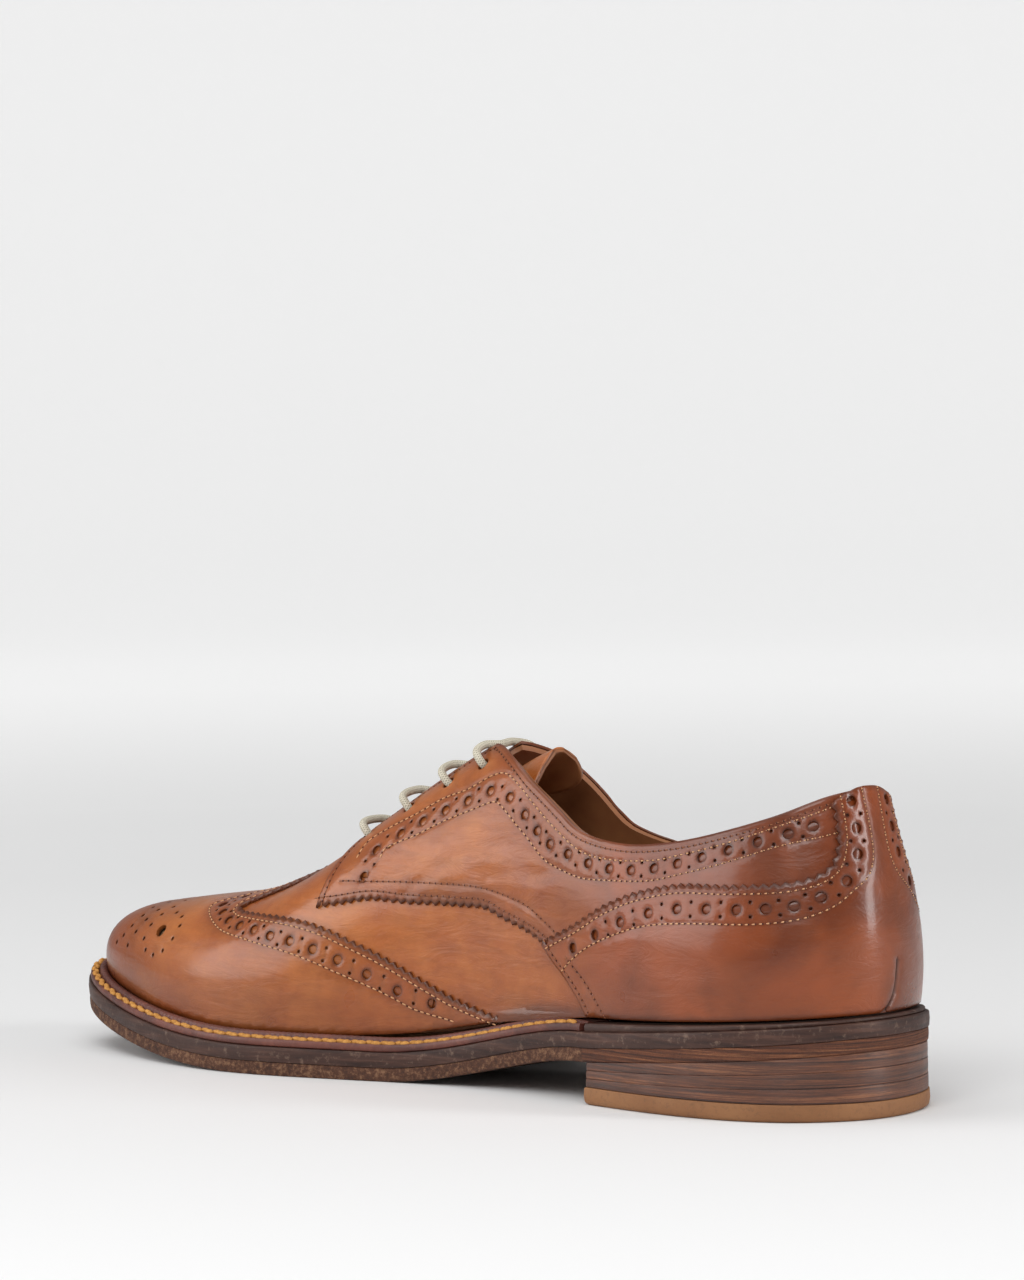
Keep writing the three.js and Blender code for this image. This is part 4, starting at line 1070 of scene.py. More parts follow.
def cut_foxing():
    """The foxing, from the inner welt round the heel to the outer welt."""
    tops = [smooth(FOX_TOP), smooth(np.array(FOX_TOP_OUTER) * [-1, 1])]
    inner = gimped(on_skin, tops[0], 1, *TEETH)
    outer = gimped(on_skin, tops[1], -1, *TEETH)
    front = walk(on_skin, smooth(FOX_FRONT), 1.6)
    top = smooth([inner[-1], [8, 0.872], [0, 0.878], [-8, 0.868], outer[-1]])
    foot = np.column_stack([np.linspace(103, -103, 90), np.full(90, 0.006)])
    outline = np.vstack([inner, walk(on_skin, top, 1.6)[1:-1], outer[::-1], (front * [-1, 1])[1:-1],
                         foot[::-1], front[::-1][1:-1]])
    holes, pale, dark = [], [], []
    for side, upper in zip((1, -1), tops):
        band = to_side(FOX_BIG, side)
        holes += with_radius(band, BIG_PUNCH) + pairs_between(on_skin, band[1:])
        pale += [beside(on_skin, upper, -2.2 * side)[3:-3], smooth(to_side(FOX_ROW_LOW, side))]
        dark += [beside(on_skin, smooth(np.array(FOX_FRONT) * [side, 1]), 2.0 * side)[2:-6],
                 smooth(np.array(FOX_FRONT_2) * [side, 1])]
    dart = smooth([(-2.4, .205), (-1.6, .108), (-0.2, .05), (1.6, .02)])
    obj = panel("heel_foxing_leather", on_skin, outline, foxing_height, 1.2, holes, pale + dark, 2.1, 0.55,
                shade=toe_wax_and_foot_shade, teeth=tops, grooves=[dart])
    keep_rows(on_skin, foxing_height, pale, dark)
    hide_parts("heel_foxing")
    print(obj.name, len(obj.data.polygons), "faces", len(holes), "holes")
    return obj


foxing = cut_foxing()

# %% [markdown]
# ## Wing cap and vamp
# The forepart is cut as one flat pattern, folded over the toe. The cap's wings run back along both
# sides to the waist and rise to a point on top. A punched rosette sits on the toe.

# %% Cap
CAP_EDGE = [[140, 0.008], [149, 0.035], [160, 0.075], [171.2, .13], [179.2, .175], [187.4, .223],
            [197.5, .283], [206.4, .343], [215.8, .406], [226, .474], [238, .554], [246.5, .61],
            [250.5, .66], [250, 0.72], [242, 0.81], [233, 0.9], [226, 1]]
CAP_FOOT = [[140, 0.004], [168, 0.004], [190, 0.004], [212, 0.004], [234, 0.004], [254, 0.004], [274, 0.004],
            [290, 0.004], [304, 0.004], [317, 0.004], [330, 0.004]]
CAP_BIG = [(263.3, .717), (257.1, .634), (249.6, .556), (242.3, .499), (234.6, .449), (226.9, .388),
           (218.5, .336), (209.6, .281), (200.5, .228), (190.2, .17), (179.5, .113), (167.3, .07)]
CAP_TOP_BIG = [(259, .80), (251, .90), (244.5, 0.985)]
CAP_ROW_OUT = [(242, .999), (253, .90), (262, .82), (269.5, .74), (264.5, .64), (251.3, .499),
               (237.1, .406), (222.1, .313), (210.7, .246), (200.8, .19), (188.9, .133), (180.8, .095),
               (172.8, .058), (160, .022)]
ROSETTE_SMALL = [(304.6, .301), (302, .371), (301.1, .464), (302, .571), (306, .677), (304.8, .769),
                 (314, .882), (306.4, .925), (295.9, .313), (295.3, .426), (295.9, .539), (298, .649),
                 (290.5, .604), (289.6, .504), (287.7, .393), (283.7, .321), (278.4, .301),
                 (273.9, .341), (271.5, .426), (272.5, .521), (276.7, .596), (283, .632), (291.6, .694),
                 (296.1, .799)]


def both(marks):
    """A run of inner marks carried over the top to the outer side."""
    marks = [list(m[:2]) for m in marks]
    return np.array(marks + [[-a, b] for a, b in marks[:-1]][::-1], float)


def mirrored(marks):
    """Marks for the outer side."""
    return [(-a, b) for a, b in marks]


CAP_HEIGHT = 1.38


def cut_cap():
    """The cap with both wings, its punching and the rosette."""
    edge = smooth(flat(both(CAP_EDGE)))
    foot = smooth(flat(both(CAP_FOOT)))
    teeth = gimped(on_fore, edge, -1, *TEETH)
    outline = np.vstack([walk(on_fore, foot, 2.4), teeth[::-1][1:-1]])
    holes = []
    for turn in (lambda m: m, mirrored):
        band = flat(turn(CAP_TOP_BIG[::-1] + CAP_BIG))
        holes += with_radius(band[1:], BIG_PUNCH)
        holes += pairs_between(on_fore, band[1:])
    middle = flat([(236, 1.0)])
    holes += with_radius(middle + [8.5, 0], BIG_PUNCH)
    spots = flat([(280.7, .471)] + ROSETTE_SMALL)
    holes += [(spots[0][0], spots[0][1], 2.0)] + [(a, b, 0.6) for a, b in spots[1:]]
    rows = [beside(on_fore, edge, -2.0)[6:-6], smooth(flat(both(CAP_ROW_OUT[::-1])))]
    obj = panel("wing_cap_leather", on_fore, outline, CAP_HEIGHT, 1.25, holes, rows, 2.1, 0.5,
                shade=toe_wax_and_foot_shade, teeth=[edge])
    keep_rows(on_fore, lambda q: CAP_HEIGHT, rows)
    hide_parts("wing_cap")
    print(obj.name, len(obj.data.polygons), "faces", len(holes), "holes")
    return obj


cap = cut_cap()

# %% Vamp
VAMP_FRONT = [[158, 0.012], [182, 0.11], [202, 0.228], [218, 0.336], [234, 0.449], [249, 0.556],
              [258, 0.64], [252, 0.8], [238, 1]]
VAMP_REAR = [[92, 0.012], [101, 0.10], [110, 0.22], [124, 0.31], [145, 0.365], [166, 0.43],
             [186, 0.50], [205, 0.64], [213, 1]]


def cut_vamp():
    """The vamp shows between the cap's wings and the quarters."""
    front = walk(on_fore, smooth(flat(both(VAMP_FRONT))), 2.4)
    rear = walk(on_fore, smooth(flat(both(VAMP_REAR))), 2.4)
    outline = np.vstack([front, rear[::-1]])
    obj = panel("vamp_leather", on_fore, outline, 0.0, 1.0, step=2.2, round_edge=0.2, shade=toe_wax_and_foot_shade,
                edge_dark=0.8)
    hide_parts("vamp")
    print(obj.name, len(obj.data.polygons), "faces")
    return obj


vamp = cut_vamp()

# %% [markdown]
# ## Linings
# A plain brown lining closes the inside, in four pieces: two quarters, a heel piece between them
# and the vamp. It meets the outer leather just below the collar, so the two are drawn touching.

# %% Linings
HEEL_PIECE = 44.6
BELOW_COLLAR = 0.004
LINING_FOOT = [[196, 0.62], [176, 0.40], [156, 0.20], [138, 0.02], [104, 0.02], [88, 0.02], [64, 0.02],
               [45.4, 0.02]]
VAMP_LINING_OUT = [[143, 0.02], [188, 0.02], [232, 0.02], [274, 0.02], [304, 0.02], [330, 0.02]]
VAMP_LINING_IN = [[145, 0.05], [156, 0.16], [167, 0.27], [178, 0.38], [189, 0.48], [199, 0.58],
                  [208, 0.67], [215, 0.84], [217.5, 1]]


def cut_linings():
    """Two quarter linings and a heel piece between them, then the vamp lining."""
    made = []
    for side, name in ((1, "medial"), (-1, "lateral")):
        turn = [side, 1]
        collar = smooth((COLLAR if side > 0 else COLLAR_OUTER)[:-1] + [[2, 0.874]])
        collar = collar[collar[:, 0] > 45.0] * turn
        collar[:, 1] -= BELOW_COLLAR
        facing = smooth(FACING)[16:] * turn
        foot = smooth(LINING_FOOT) * turn
        rear = np.array([[45.2, 0.1], [45.2, 0.3], [45.2, 0.5]]) * turn
        outline = np.vstack([walk(on_skin, facing, 3)[1:-1], walk(on_skin, collar, 3), rear[::-1],
                             walk(on_skin, foot, 4)[::-1]])
        holes = [(side * s, v, 1.9) for s, v in HOLES]
        obj = panel("quarter_lining_" + name + "_calf", on_skin, outline, lambda q: facing_lift(q) - 0.05,
                    1.7, holes, (), 3.4, 0.1, finish="lining_leather")
        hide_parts("quarter_lining_" + name)
        made.append(obj)
    top = np.vstack([smooth(COLLAR[8:])[::-1], smooth(COLLAR_OUTER[7:]) * [-1, 1]])
    top = top[np.abs(top[:, 0]) < HEEL_PIECE]
    top = top[np.argsort(-top[:, 0])]
    top[:, 1] -= BELOW_COLLAR
    foot = np.column_stack([np.linspace(-HEEL_PIECE, HEEL_PIECE, 26), np.full(26, 0.02)])
    outline = np.vstack([walk(on_skin, top, 3), [[-HEEL_PIECE, 0.4], [-HEEL_PIECE, 0.2]], foot,
                         [[HEEL_PIECE, 0.2], [HEEL_PIECE, 0.5]]])
    heel = panel("heel_lining_calf", on_skin, outline, -0.05, 1.7, (), (), 3.4, 0.1, finish="lining_leather")
    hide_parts("heel_lining")
    outer = walk(on_fore, smooth(flat(both(VAMP_LINING_OUT))), 4)
    inner = walk(on_fore, smooth(flat(both(VAMP_LINING_IN))), 3)
    fore = panel("vamp_lining_calf", on_fore, np.vstack([outer, inner[::-1]]), -1.3, 1.3, (), (), 4, 0.1,
                 finish="lining_leather")
    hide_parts("vamp_lining")
    return made + [heel, fore]


linings = cut_linings()
print([o.name for o in linings])

# %% [markdown]
# ## Backing under the punching
# The punches don't go through to the foot: a strip of the same leather lies close under each row
# and shows at the bottom of every hole. It is a narrow ribbon along the marks, between two skins.

# %% Backing strips


def ribbon(name, at, line, width, height):
    """A narrow closed strip along a pattern line."""
    run = walk(at, smooth(line), 2.5)
    lanes = [beside(at, run, width * k) for k in (-0.5, 0, 0.5)]
    skins = [[off(at, lane, d) for lane in lanes] for d in (height, height - 0.2)]
    places = np.stack(skins[0] + skins[1][::-1], axis=1).reshape(-1, 3)
    faces = bands(len(run), 6, ends=True)
    # The backing is darkened evenly: painted shade at the bottom of the holes.
    marks = {"wax_and_painted_shade": np.full(len(places), 0.22), "deep": dye_depth(places)}
    obj = piece(name, places, faces, "tan_leather", marks=marks)
    outward(obj)
    return obj


for side, word in ((1, "inner"), (-1, "outer")):
    ribbon("band_backing_" + word, on_skin, to_side(BAND_BIG + [(14, .775)], side), 5.0, 0.5)
    ribbon("foxing_backing_" + word, on_skin, to_side(FOX_BIG, side)[1:], 5.0, 1.85)
ribbon("cap_backing", on_fore, flat(both(CAP_BIG[::-1] + CAP_TOP_BIG + [(236, 1.0)])), 5.0, 0.55)
print("backing strips laid")

# %% [markdown]
# ## Tongue
# The tongue is a soft tab sewn under the vamp's throat: tan leather outside, lining inside. It is
# bent across, over the instep, and its free end is cut round. It is drawn as two skins.

# %% Tongue
TONGUE_LINE = [[192, 60], [179, 68.2], [166, 76.4], [153, 83.2], [141, 88.6], [131, 93.6], [123, 97]]
TONGUE_HALF = [15, 15, 13.5, 12, 11.5, 13, 12]
TONGUE_BEND = [26, 20, 15, 11, 8.5, 8.2, 8]


def tongue_skin(name, from_depth, thick, finish, n=64, m=28):
    """One skin of the tongue, from_depth below its face: a sheet closed all round."""
    def along(values):
        return np.interp(np.linspace(0, len(values) - 1, n + 1), np.arange(len(values)), values)

    x, z = (along(values) for values in smooth(TONGUE_LINE, 40).T)
    half, bend = (along(smooth(list(enumerate(values)), 40)[:, 1]) for values in (TONGUE_HALF, TONGUE_BEND))
    t = np.linspace(0, 1, n + 1)
    half = half * np.cbrt(1 - np.clip((t - 0.86) / 0.1404, 0, 1) ** 3)
    dx, dz = np.gradient(x), np.gradient(z)
    length = np.hypot(dx, dz)
    nx, nz = dz / length, -dx / length
    across = 1 - 2 * np.linspace(0, 1, m + 1)
    y = half[:, None] * np.sign(across) * np.abs(across) ** 0.9
    turn = bend[:, None] * np.where(y > 0, 0.8, 1.1)
    drop = y * y / (2 * turn)
    top = np.stack([x[:, None] - nx[:, None] * drop * 0.5, y + 0.5, z[:, None] - drop], -1)
    r = np.hypot(1, y / turn)
    normal = np.stack([nx[:, None] / r, y / turn / r, nz[:, None] / r], -1)
    rim = np.minimum(half[:, None] - np.abs(y), 0.5) / 0.5
    roll = 0.3 * (1 - np.sqrt(np.clip(1 - (1 - np.clip(rim, 0, 1)) ** 2, 0, 1)))
    upper = top - normal * (from_depth + roll[..., None] * (1 if from_depth == 0 else 0))
    lower = top - normal * (from_depth + thick - roll[..., None] * (0 if from_depth == 0 else 1))
    w = 2 * (m + 1)
    faces = bands(n + 1, w)
    for row in (0, n * w):
        faces += [(row + j, row + j + 1, row + w - 2 - j, row + w - 1 - j) for j in range(m)]
    edge = np.clip(1 - rim, 0, 1) * 0.5
    places = np.concatenate([upper, lower[:, ::-1]], axis=1).reshape(-1, 3)
    wax_and_painted_shade = np.concatenate([edge, edge[:, ::-1]], axis=1).reshape(-1)
    obj = piece(name, places, faces, finish, body=None, marks={"wax_and_painted_shade": wax_and_painted_shade})
    outward(obj)
    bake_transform(obj)
    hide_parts("tongue")
    return obj


tongue = [tongue_skin("tongue_outer_leather", 0.0, 0.8, "tan_leather"),
          tongue_skin("tongue_lining_calf", 0.8, 0.8, "lining_leather")]
print("tongue", [len(o.data.polygons) for o in tongue])

# %% [markdown]
# ## Lace
# One round waxed lace runs in straight bars over the facings, with short runs beneath, and its two
# ends are tucked inside. It is drawn as a tube on the same route as in the frame, with its own map
# so that the braid turns with it.

# %% Lace route
LACE_DIAMETER = 2.4


def lace_route():
    """The lace's marks, then a centripetal curve through them."""
    marks = []
    over = lambda turn, s, v, d: off(on_skin, np.array([[turn * s, v]]), d)[0]
    tail_1 = [[201, 0.67, -4.2], [191, 0.58, -4.3], [175, 0.52, -4.4], [158, 0.49, -4.4], [140, 0.46, -4.4],
              [120, 0.42, -4.5], [100, 0.38, -4.6], [84, 0.34, -4.8], [70, 0.31, -5.2], [58, 0.29, -6]]
    tail_2 = [[156, 0.74, -4.15], [151, 0.66, -4.15], [142, 0.58, -4.3], [128, 0.54, -4.4], [110, 0.49, -4.5],
              [92, 0.47, -4.6], [78, 0.46, -5], [66, 0.45, -5.8]]
    marks += [over(1, s, v, d) for s, v, d in tail_1[::-1]]
    for (s, v), side in zip(HOLES, (1, -1, 1, -1)):
        middle = last(ring_of(s + 3), 1.0) + [0, 0, 1.4]
        marks += [over(side, s, v, -4.1), over(side, s, v, 2), over(side, s + 1.5, v + 0.035, 4.3),
                  over(side, s + 3, 0.93, 3.4), middle, over(-side, s + 3, 0.93, 3.4),
                  over(-side, s + 1.5, v + 0.035, 4.3), over(-side, s, v, 2), over(-side, s, v, -4.1)]
    marks += [over(1, s, v, d) for s, v, d in tail_2]
    return centripetal(np.array(marks), 16)


def centripetal(p, each):
    """A smooth curve that doesn't overshoot between uneven marks."""
    p = np.vstack([2 * p[0] - p[1], p, 2 * p[-1] - p[-2]])
    out = []
    for a, b, c, d in zip(p, p[1:], p[2:], p[3:]):
        t0, t1, t2 = (np.sqrt(np.linalg.norm(y - x)) for x, y in ((a, b), (b, c), (c, d)))
        v0 = ((b - a) / t0 - (c - a) / (t0 + t1) + (c - b) / t1) * t1
        v1 = ((c - b) / t1 - (d - b) / (t1 + t2) + (d - c) / t2) * t1
        t = np.linspace(0, 1, each, endpoint=False)[:, None]
        out.append((2 * b - 2 * c + v0 + v1) * t ** 3 + (-3 * b + 3 * c - 2 * v0 - v1) * t * t + v0 * t + b)
    return np.vstack(out + [p[-2:-1]])


lace_line = lace_route()

# %% Lace tube


def tube(name, line, radius, finish, sides=14):
    """A closed round tube on a line, with a map that follows it."""
    ahead = np.gradient(line, axis=0)
    ahead /= np.linalg.norm(ahead, axis=1, keepdims=True)
    across = np.cross(ahead[0], [0.3, 0.1, 1.0])
    rings = []
    turn = 2 * np.pi * np.arange(sides) / sides
    for point, t in zip(line, ahead):
        across = across - t * (across @ t)
        across /= np.linalg.norm(across)
        up = np.cross(t, across)
        rings.append(point + radius * (np.cos(turn)[:, None] * across + np.sin(turn)[:, None] * up))
    obj = piece(name, np.vstack(rings), bands(len(line), sides, ends=True), finish)
    far = run_of(line)
    layer = obj.data.uv_layers.new(name="route")
    for face in obj.data.polygons:
        for corner, vertex in zip(face.loop_indices, face.vertices):
            i, k = divmod(vertex, sides)
            share = k / sides
            if k == 0 and any(v % sides == sides - 1 for v in face.vertices):
                share = 1.0
            layer.data[corner].uv = (far[i] / (2 * np.pi * radius), share)
    outward(obj)
    return obj


lace = tube("waxed_lace", lace_line, LACE_DIAMETER / 2, "lace_cord")
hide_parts("lace")
print(lace.name, len(lace.data.polygons), "faces")

# %% [markdown]
# ## Sole edge
# Every layer under the upper follows one line, the sole edge. A layer is a plate whose top and
# bottom bend along the length only, with its rim rolled over by a small radius so that the joints
# between layers read as fine lines.

# %% The sole edge line
HEEL_BREAST, HEEL_LOW, HEEL_HIGH, WAIST_END, BALL_END, TOE_SPRING = 84, 12, 19, 165, 205, 14
OUTSOLE, MIDSOLE, TOP_PIECE, PLAY, WELT, WELT_LIP = 4.0, 4.4, 5.0, 0.12, 2.3, 4.1


def underside(x):
    """Height of the outsole's lower face."""
    x = np.asarray(x, float)
    t = np.clip((x - HEEL_BREAST) / (WAIST_END - HEEL_BREAST), 0, 1)
    heel = HEEL_LOW + (HEEL_HIGH - HEEL_LOW) * (HEEL_BREAST - x) / HEEL_BREAST
    waist = HEEL_LOW * (1 - t) ** 2 * (1 + 2 * t)
    toe = TOE_SPRING * (np.clip(x - BALL_END, 0, None) / (300 - BALL_END)) ** 2
    return np.where(x < HEEL_BREAST, heel, waist) + toe


def mid_top(x):
    return underside(x) + OUTSOLE + MIDSOLE + PLAY


def rand_rise(x):
    return np.where(x < HEEL_BREAST, 1.1 + (WELT - 1.1) * x / HEEL_BREAST, WELT)


def edge_point(u, inset):
    """A place on the sole edge, moved in by inset."""
    w = np.mod(np.asarray(u, float), RING)
    i = np.floor(w).astype(int)
    t = w - i
    r = 1 - t
    weights = basis(t)
    turns = [-r * r / 2, (3 * t * t - 4 * t) / 2, (-3 * t * t + 2 * t + 1) / 2, t * t / 2]
    place = sum(weights[k][..., None] * EDGE[(i + k - 1) % RING] for k in range(4))
    ahead = sum(turns[k][..., None] * EDGE[(i + k - 1) % RING] for k in range(4))
    ahead /= np.linalg.norm(ahead, axis=-1, keepdims=True)
    return place + np.stack([ahead[..., 1], -ahead[..., 0]], -1) * np.asarray(inset, float)[..., None]


def edge_loop(inset, breast=None, count=420):
    """The closed outline of a layer, whole or cut off square at the breast."""
    if breast is None:
        return edge_point(np.linspace(0, RING, count, endpoint=False), inset)
    stop = breast - inset
    u = np.linspace(0, 7, 700)
    start_in = np.interp(stop, edge_point(u, inset)[:, 0], u)
    start_out = np.interp(stop, edge_point(-u, inset)[:, 0], u)
    round_heel = edge_point(np.linspace(start_in, -start_out, count), inset)
    across = round_heel[-1] + (round_heel[0] - round_heel[-1]) * np.linspace(0, 1, 42)[1:-1, None]
    return np.vstack([round_heel, across])


def layer(name, finish, inset, lower, upper, breast=None, roll=(0.35, 0.35), swell=0.0, node=None):
    """A sole layer with rolled rims: its loop, then lids filled with even points."""
    profile = []
    for k in range(5):
        a = math.pi / 2 * k / 4
        profile.append((roll[0] * (1 - math.sin(a)), 0, roll[0] * (1 - math.cos(a))))
    profile.append((-swell, 0.5, 0))
    for k in range(5):
        a = math.pi / 2 * k / 4
        profile.append((roll[1] * (1 - math.cos(a)), 1, -roll[1] * (1 - math.sin(a))))
    profile = [(1.6, 0, 0)] + profile + [(1.6, 1, 0)]
    rings = []
    for extra, share, dz in profile:
        xy = edge_loop(inset + extra, breast)
        low, high = lower(xy[:, 0]), upper(xy[:, 0])
        rings.append(np.column_stack([xy, low + (high - low) * share + dz]))
    n = len(rings[0])
    faces = bands(len(rings), n)
    places = [p for ring in rings for p in ring]
    for base, law in ((0, lower), ((len(rings) - 1) * n, upper)):
        rim = rings[0][:, :2]
        xs, ys = (np.arange(rim[:, k].min(), rim[:, k].max(), 5) for k in (0, 1))
        grid = np.array([(x, y) for x in xs for y in ys])
        grid = grid[inside(grid, rim)]
        grid = grid[nearest(grid, rim) > 2.5]
        edges = [(i, (i + 1) % n) for i in range(n)]
        made = delaunay_2d_cdt([Vector(p) for p in np.vstack([rim, grid])], edges, [], 1, 1e-6)
        first = len(places)
        points = np.array([tuple(p) for p in made[0]])
        for p in points[n:]:
            places.append(np.array([p[0], p[1], float(law(p[0]))]))
        number = lambda i: base + i if i < n else first + i - n
        faces += [tuple(number(i) for i in f) for f in made[2]]
    obj = piece(name, np.array(places), faces, finish, sharp=50)
    outward(obj)
    if node:
        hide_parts(node)
    print(name, len(obj.data.polygons), "faces")
    return obj


# %% Heel, outsole and midsole
lift_floor = TOP_PIECE + PLAY
layer("heel_top_piece_rubber", "tan_rubber", 0.0, lambda x: 0 * x, lambda x: TOP_PIECE + 0 * x, HEEL_BREAST,
      (1.5, 0.3), 0.12, "top_piece")
for k in range(3):
    low = lambda x, k=k: lift_floor + (underside(x) - lift_floor) * k / 3
    high = lambda x, k=k: lift_floor + (underside(x) - lift_floor) * (k + 1) / 3 - 0.02
    layer(f"heel_lift_{k + 1}_leather", "stacked_leather", 0.35 + 0.08 * k, low, high, HEEL_BREAST - 0.1,
          (0.16, 0.16), 0.05, f"heel_lift_{k + 1}")
layer("outsole_slab", "rough_sole", 0.25, underside, lambda x: underside(x) + OUTSOLE, None, (0.7, 0.35),
      0.1, "outsole")
layer("midsole_slab", "dark_edge", 0.0, lambda x: underside(x) + OUTSOLE + 0.03, mid_top, None,
      (0.35, 0.55), 0.15, "midsole")
layer("insole_board", "leatherboard", 11.2, lambda x: mid_top(x) + rand_rise(x) + 0.3,
      lambda x: mid_top(x) + rand_rise(x) + 2.2, None, (0.2, 0.2), 0, "insole")
layer("sock_lining_leather", "lining_leather", 11.0, lambda x: mid_top(x) + rand_rise(x) + 2.3,
      lambda x: mid_top(x) + rand_rise(x) + 3.3, None, (0.2, 0.3), 0, "sock_lining")

# %% [markdown]
# ## Welt and rand
# The storm welt is a strip sewn round the forepart. Its inner edge stands up against the upper as
# a lip, which keeps water out, and the stitching lies in the groove before the lip. Round the heel
# a plain thin rand takes its place.

# %% Strips round the edge
WELT_FROM = 4.55
WHEEL_PITCH = 1.9


def strip(name, finish, profile, a, b, count, base, node, wheel=0.0, rise=None):
    """A closed cross-section carried along the sole edge from one ring place to another."""
    u = np.linspace(a, b, count)
    t = np.linspace(0, 1, count)
    ripple = wheel * np.sin(2 * np.pi * run_of(edge_point(u, 0)) / WHEEL_PITCH)
    places, m = [], len(profile)
    for inset, z, soft in profile:
        xy = edge_point(u, inset + (ripple * 0.6 if soft else 0))
        height = z * np.minimum(1, (WELT + 0.3) / WELT_LIP + np.minimum(t, 1 - t) * 8) if soft else z
        height = height * rise(xy[:, 0]) if rise else height
        places.append(np.column_stack([xy, base(xy[:, 0]) + height + (ripple * 0.4 if soft else 0)]))
    places = np.array(places).transpose(1, 0, 2).reshape(-1, 3)
    obj = piece(name, places, bands(count, m, ends=True), finish, sharp=55)
    outward(obj)
    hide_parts(node)
    print(name, len(obj.data.polygons), "faces")
    return obj


welt_section = [(0.85, 0.12, 0), (0.6, 0.4, 0), (0.55, 1.2, 0), (0.65, 1.9, 0), (0.95, WELT, 0),
                (1.5, WELT - 0.1, 0), (2.4, WELT - 0.15, 0), (3.1, WELT, 0), (3.35, 2.9, 1),
                (3.5, 3.5, 1), (3.8, 3.95, 1), (4.3, 4.1, 1), (4.9, 4.0, 1), (5.6, 3.7, 1),
                (6.2, WELT, 0), (11.6, WELT, 0), (11.6, 0.12, 0)]
strip("storm_welt_strip", "welt_leather", welt_section, WELT_FROM, RING - WELT_FROM, 1500, mid_top,
      "welt", 0.13)
rand_section = [(1.3, 0.04, 0), (1.1, 0.3, 0), (1.15, 0.75, 0), (1.5, 1.0, 0), (3.0, 1.0, 0),
                (7.6, 1.0, 0), (7.6, 0.04, 0)]
strip("heel_rand_strip", "dark_edge", rand_section, -4.5, 4.5, 420, mid_top, "heel_rand", rise=rand_rise)

# %% [markdown]
# ## Stitching
# A stitch is one short grain of thread with a prick of the needle at each end; the prick is a dark bead,
# painted shade of the needle hole. There are many hundreds, so Geometry Nodes lay them: a row is cut into
# even steps, and one grain is set on each step, turned along the row. The sizes are inputs of the tree.

# %% Stitch tree


def stitch_tree():
    """A tree that sets a grain on every step of a line, and a prick between steps."""
    tree = bpy.data.node_groups.new("stitch_row", "GeometryNodeTree")
    face = tree.interface
    face.new_socket("Geometry", in_out="INPUT", socket_type="NodeSocketGeometry")
    for name, value in (("Pitch", 0.0021), ("Length", 0.0018), ("Thread", 0.0005), ("Prick", 0.0005)):
        socket = face.new_socket(name, in_out="INPUT", socket_type="NodeSocketFloat")
        socket.default_value = value
    for name in ("Thread finish", "Prick finish"):
        face.new_socket(name, in_out="INPUT", socket_type="NodeSocketMaterial")
    face.new_socket("Geometry", in_out="OUTPUT", socket_type="NodeSocketGeometry")
    make = lambda kind: tree.nodes.new(kind)
    join = tree.links.new
    given, result = make("NodeGroupInput"), make("NodeGroupOutput")
    curve = make("GeometryNodeMeshToCurve")
    join(given.outputs["Geometry"], curve.inputs["Mesh"])
    half = make("ShaderNodeMath")
    half.operation = "MULTIPLY"
    half.inputs[1].default_value = 0.5
    join(given.outputs["Pitch"], half.inputs[0])
    trim = make("GeometryNodeTrimCurve")
    trim.mode = "LENGTH"
    join(curve.outputs["Curve"], trim.inputs["Curve"])
    start = [s for s in trim.inputs if s.name == "Start" and s.enabled][0]
    end = [s for s in trim.inputs if s.name == "End" and s.enabled][0]
    end.default_value = 10
    join(half.outputs[0], start)
    lanes = []
    for source, long, wide, finish, rings in (
            (curve.outputs["Curve"], "Length", "Thread", "Thread finish", 6),
            (trim.outputs["Curve"], "Prick", "Prick", "Prick finish", 4)):
        steps = make("GeometryNodeResampleCurve")
        steps.mode = "LENGTH"
        join(source, steps.inputs["Curve"])
        join(given.outputs["Pitch"], steps.inputs["Length"])
        grain = make("GeometryNodeMeshUVSphere")
        grain.inputs["Segments"].default_value = 7
        grain.inputs["Rings"].default_value = rings
        grain.inputs["Radius"].default_value = 0.5
        size = make("ShaderNodeCombineXYZ")
        join(given.outputs[wide], size.inputs["X"])
        join(given.outputs[wide], size.inputs["Y"])
        join(given.outputs[long], size.inputs["Z"])
        shaped = make("GeometryNodeTransform")
        join(grain.outputs["Mesh"], shaped.inputs["Geometry"])
        join(size.outputs[0], shaped.inputs["Scale"])
        tangent = make("GeometryNodeInputTangent")
        turn = make("FunctionNodeAlignRotationToVector")
        turn.axis = "Z"
        join(tangent.outputs[0], turn.inputs["Vector"])
        lay = make("GeometryNodeInstanceOnPoints")
        join(steps.outputs["Curve"], lay.inputs["Points"])
        join(shaped.outputs["Geometry"], lay.inputs["Instance"])
        join(turn.outputs[0], lay.inputs["Rotation"])
        real = make("GeometryNodeRealizeInstances")
        join(lay.outputs["Instances"], real.inputs["Geometry"])
        dress = make("GeometryNodeSetMaterial")
        join(real.outputs["Geometry"], dress.inputs["Geometry"])
        join(given.outputs[finish], dress.inputs["Material"])
        lanes.append(dress.outputs["Geometry"])
    both_lanes = make("GeometryNodeJoinGeometry")
    for lane in lanes:
        join(lane, both_lanes.inputs["Geometry"])
    join(both_lanes.outputs["Geometry"], result.inputs["Geometry"])
    return tree


STITCH = stitch_tree()
print(STITCH.name, len(STITCH.nodes), "nodes")

# %% Thread


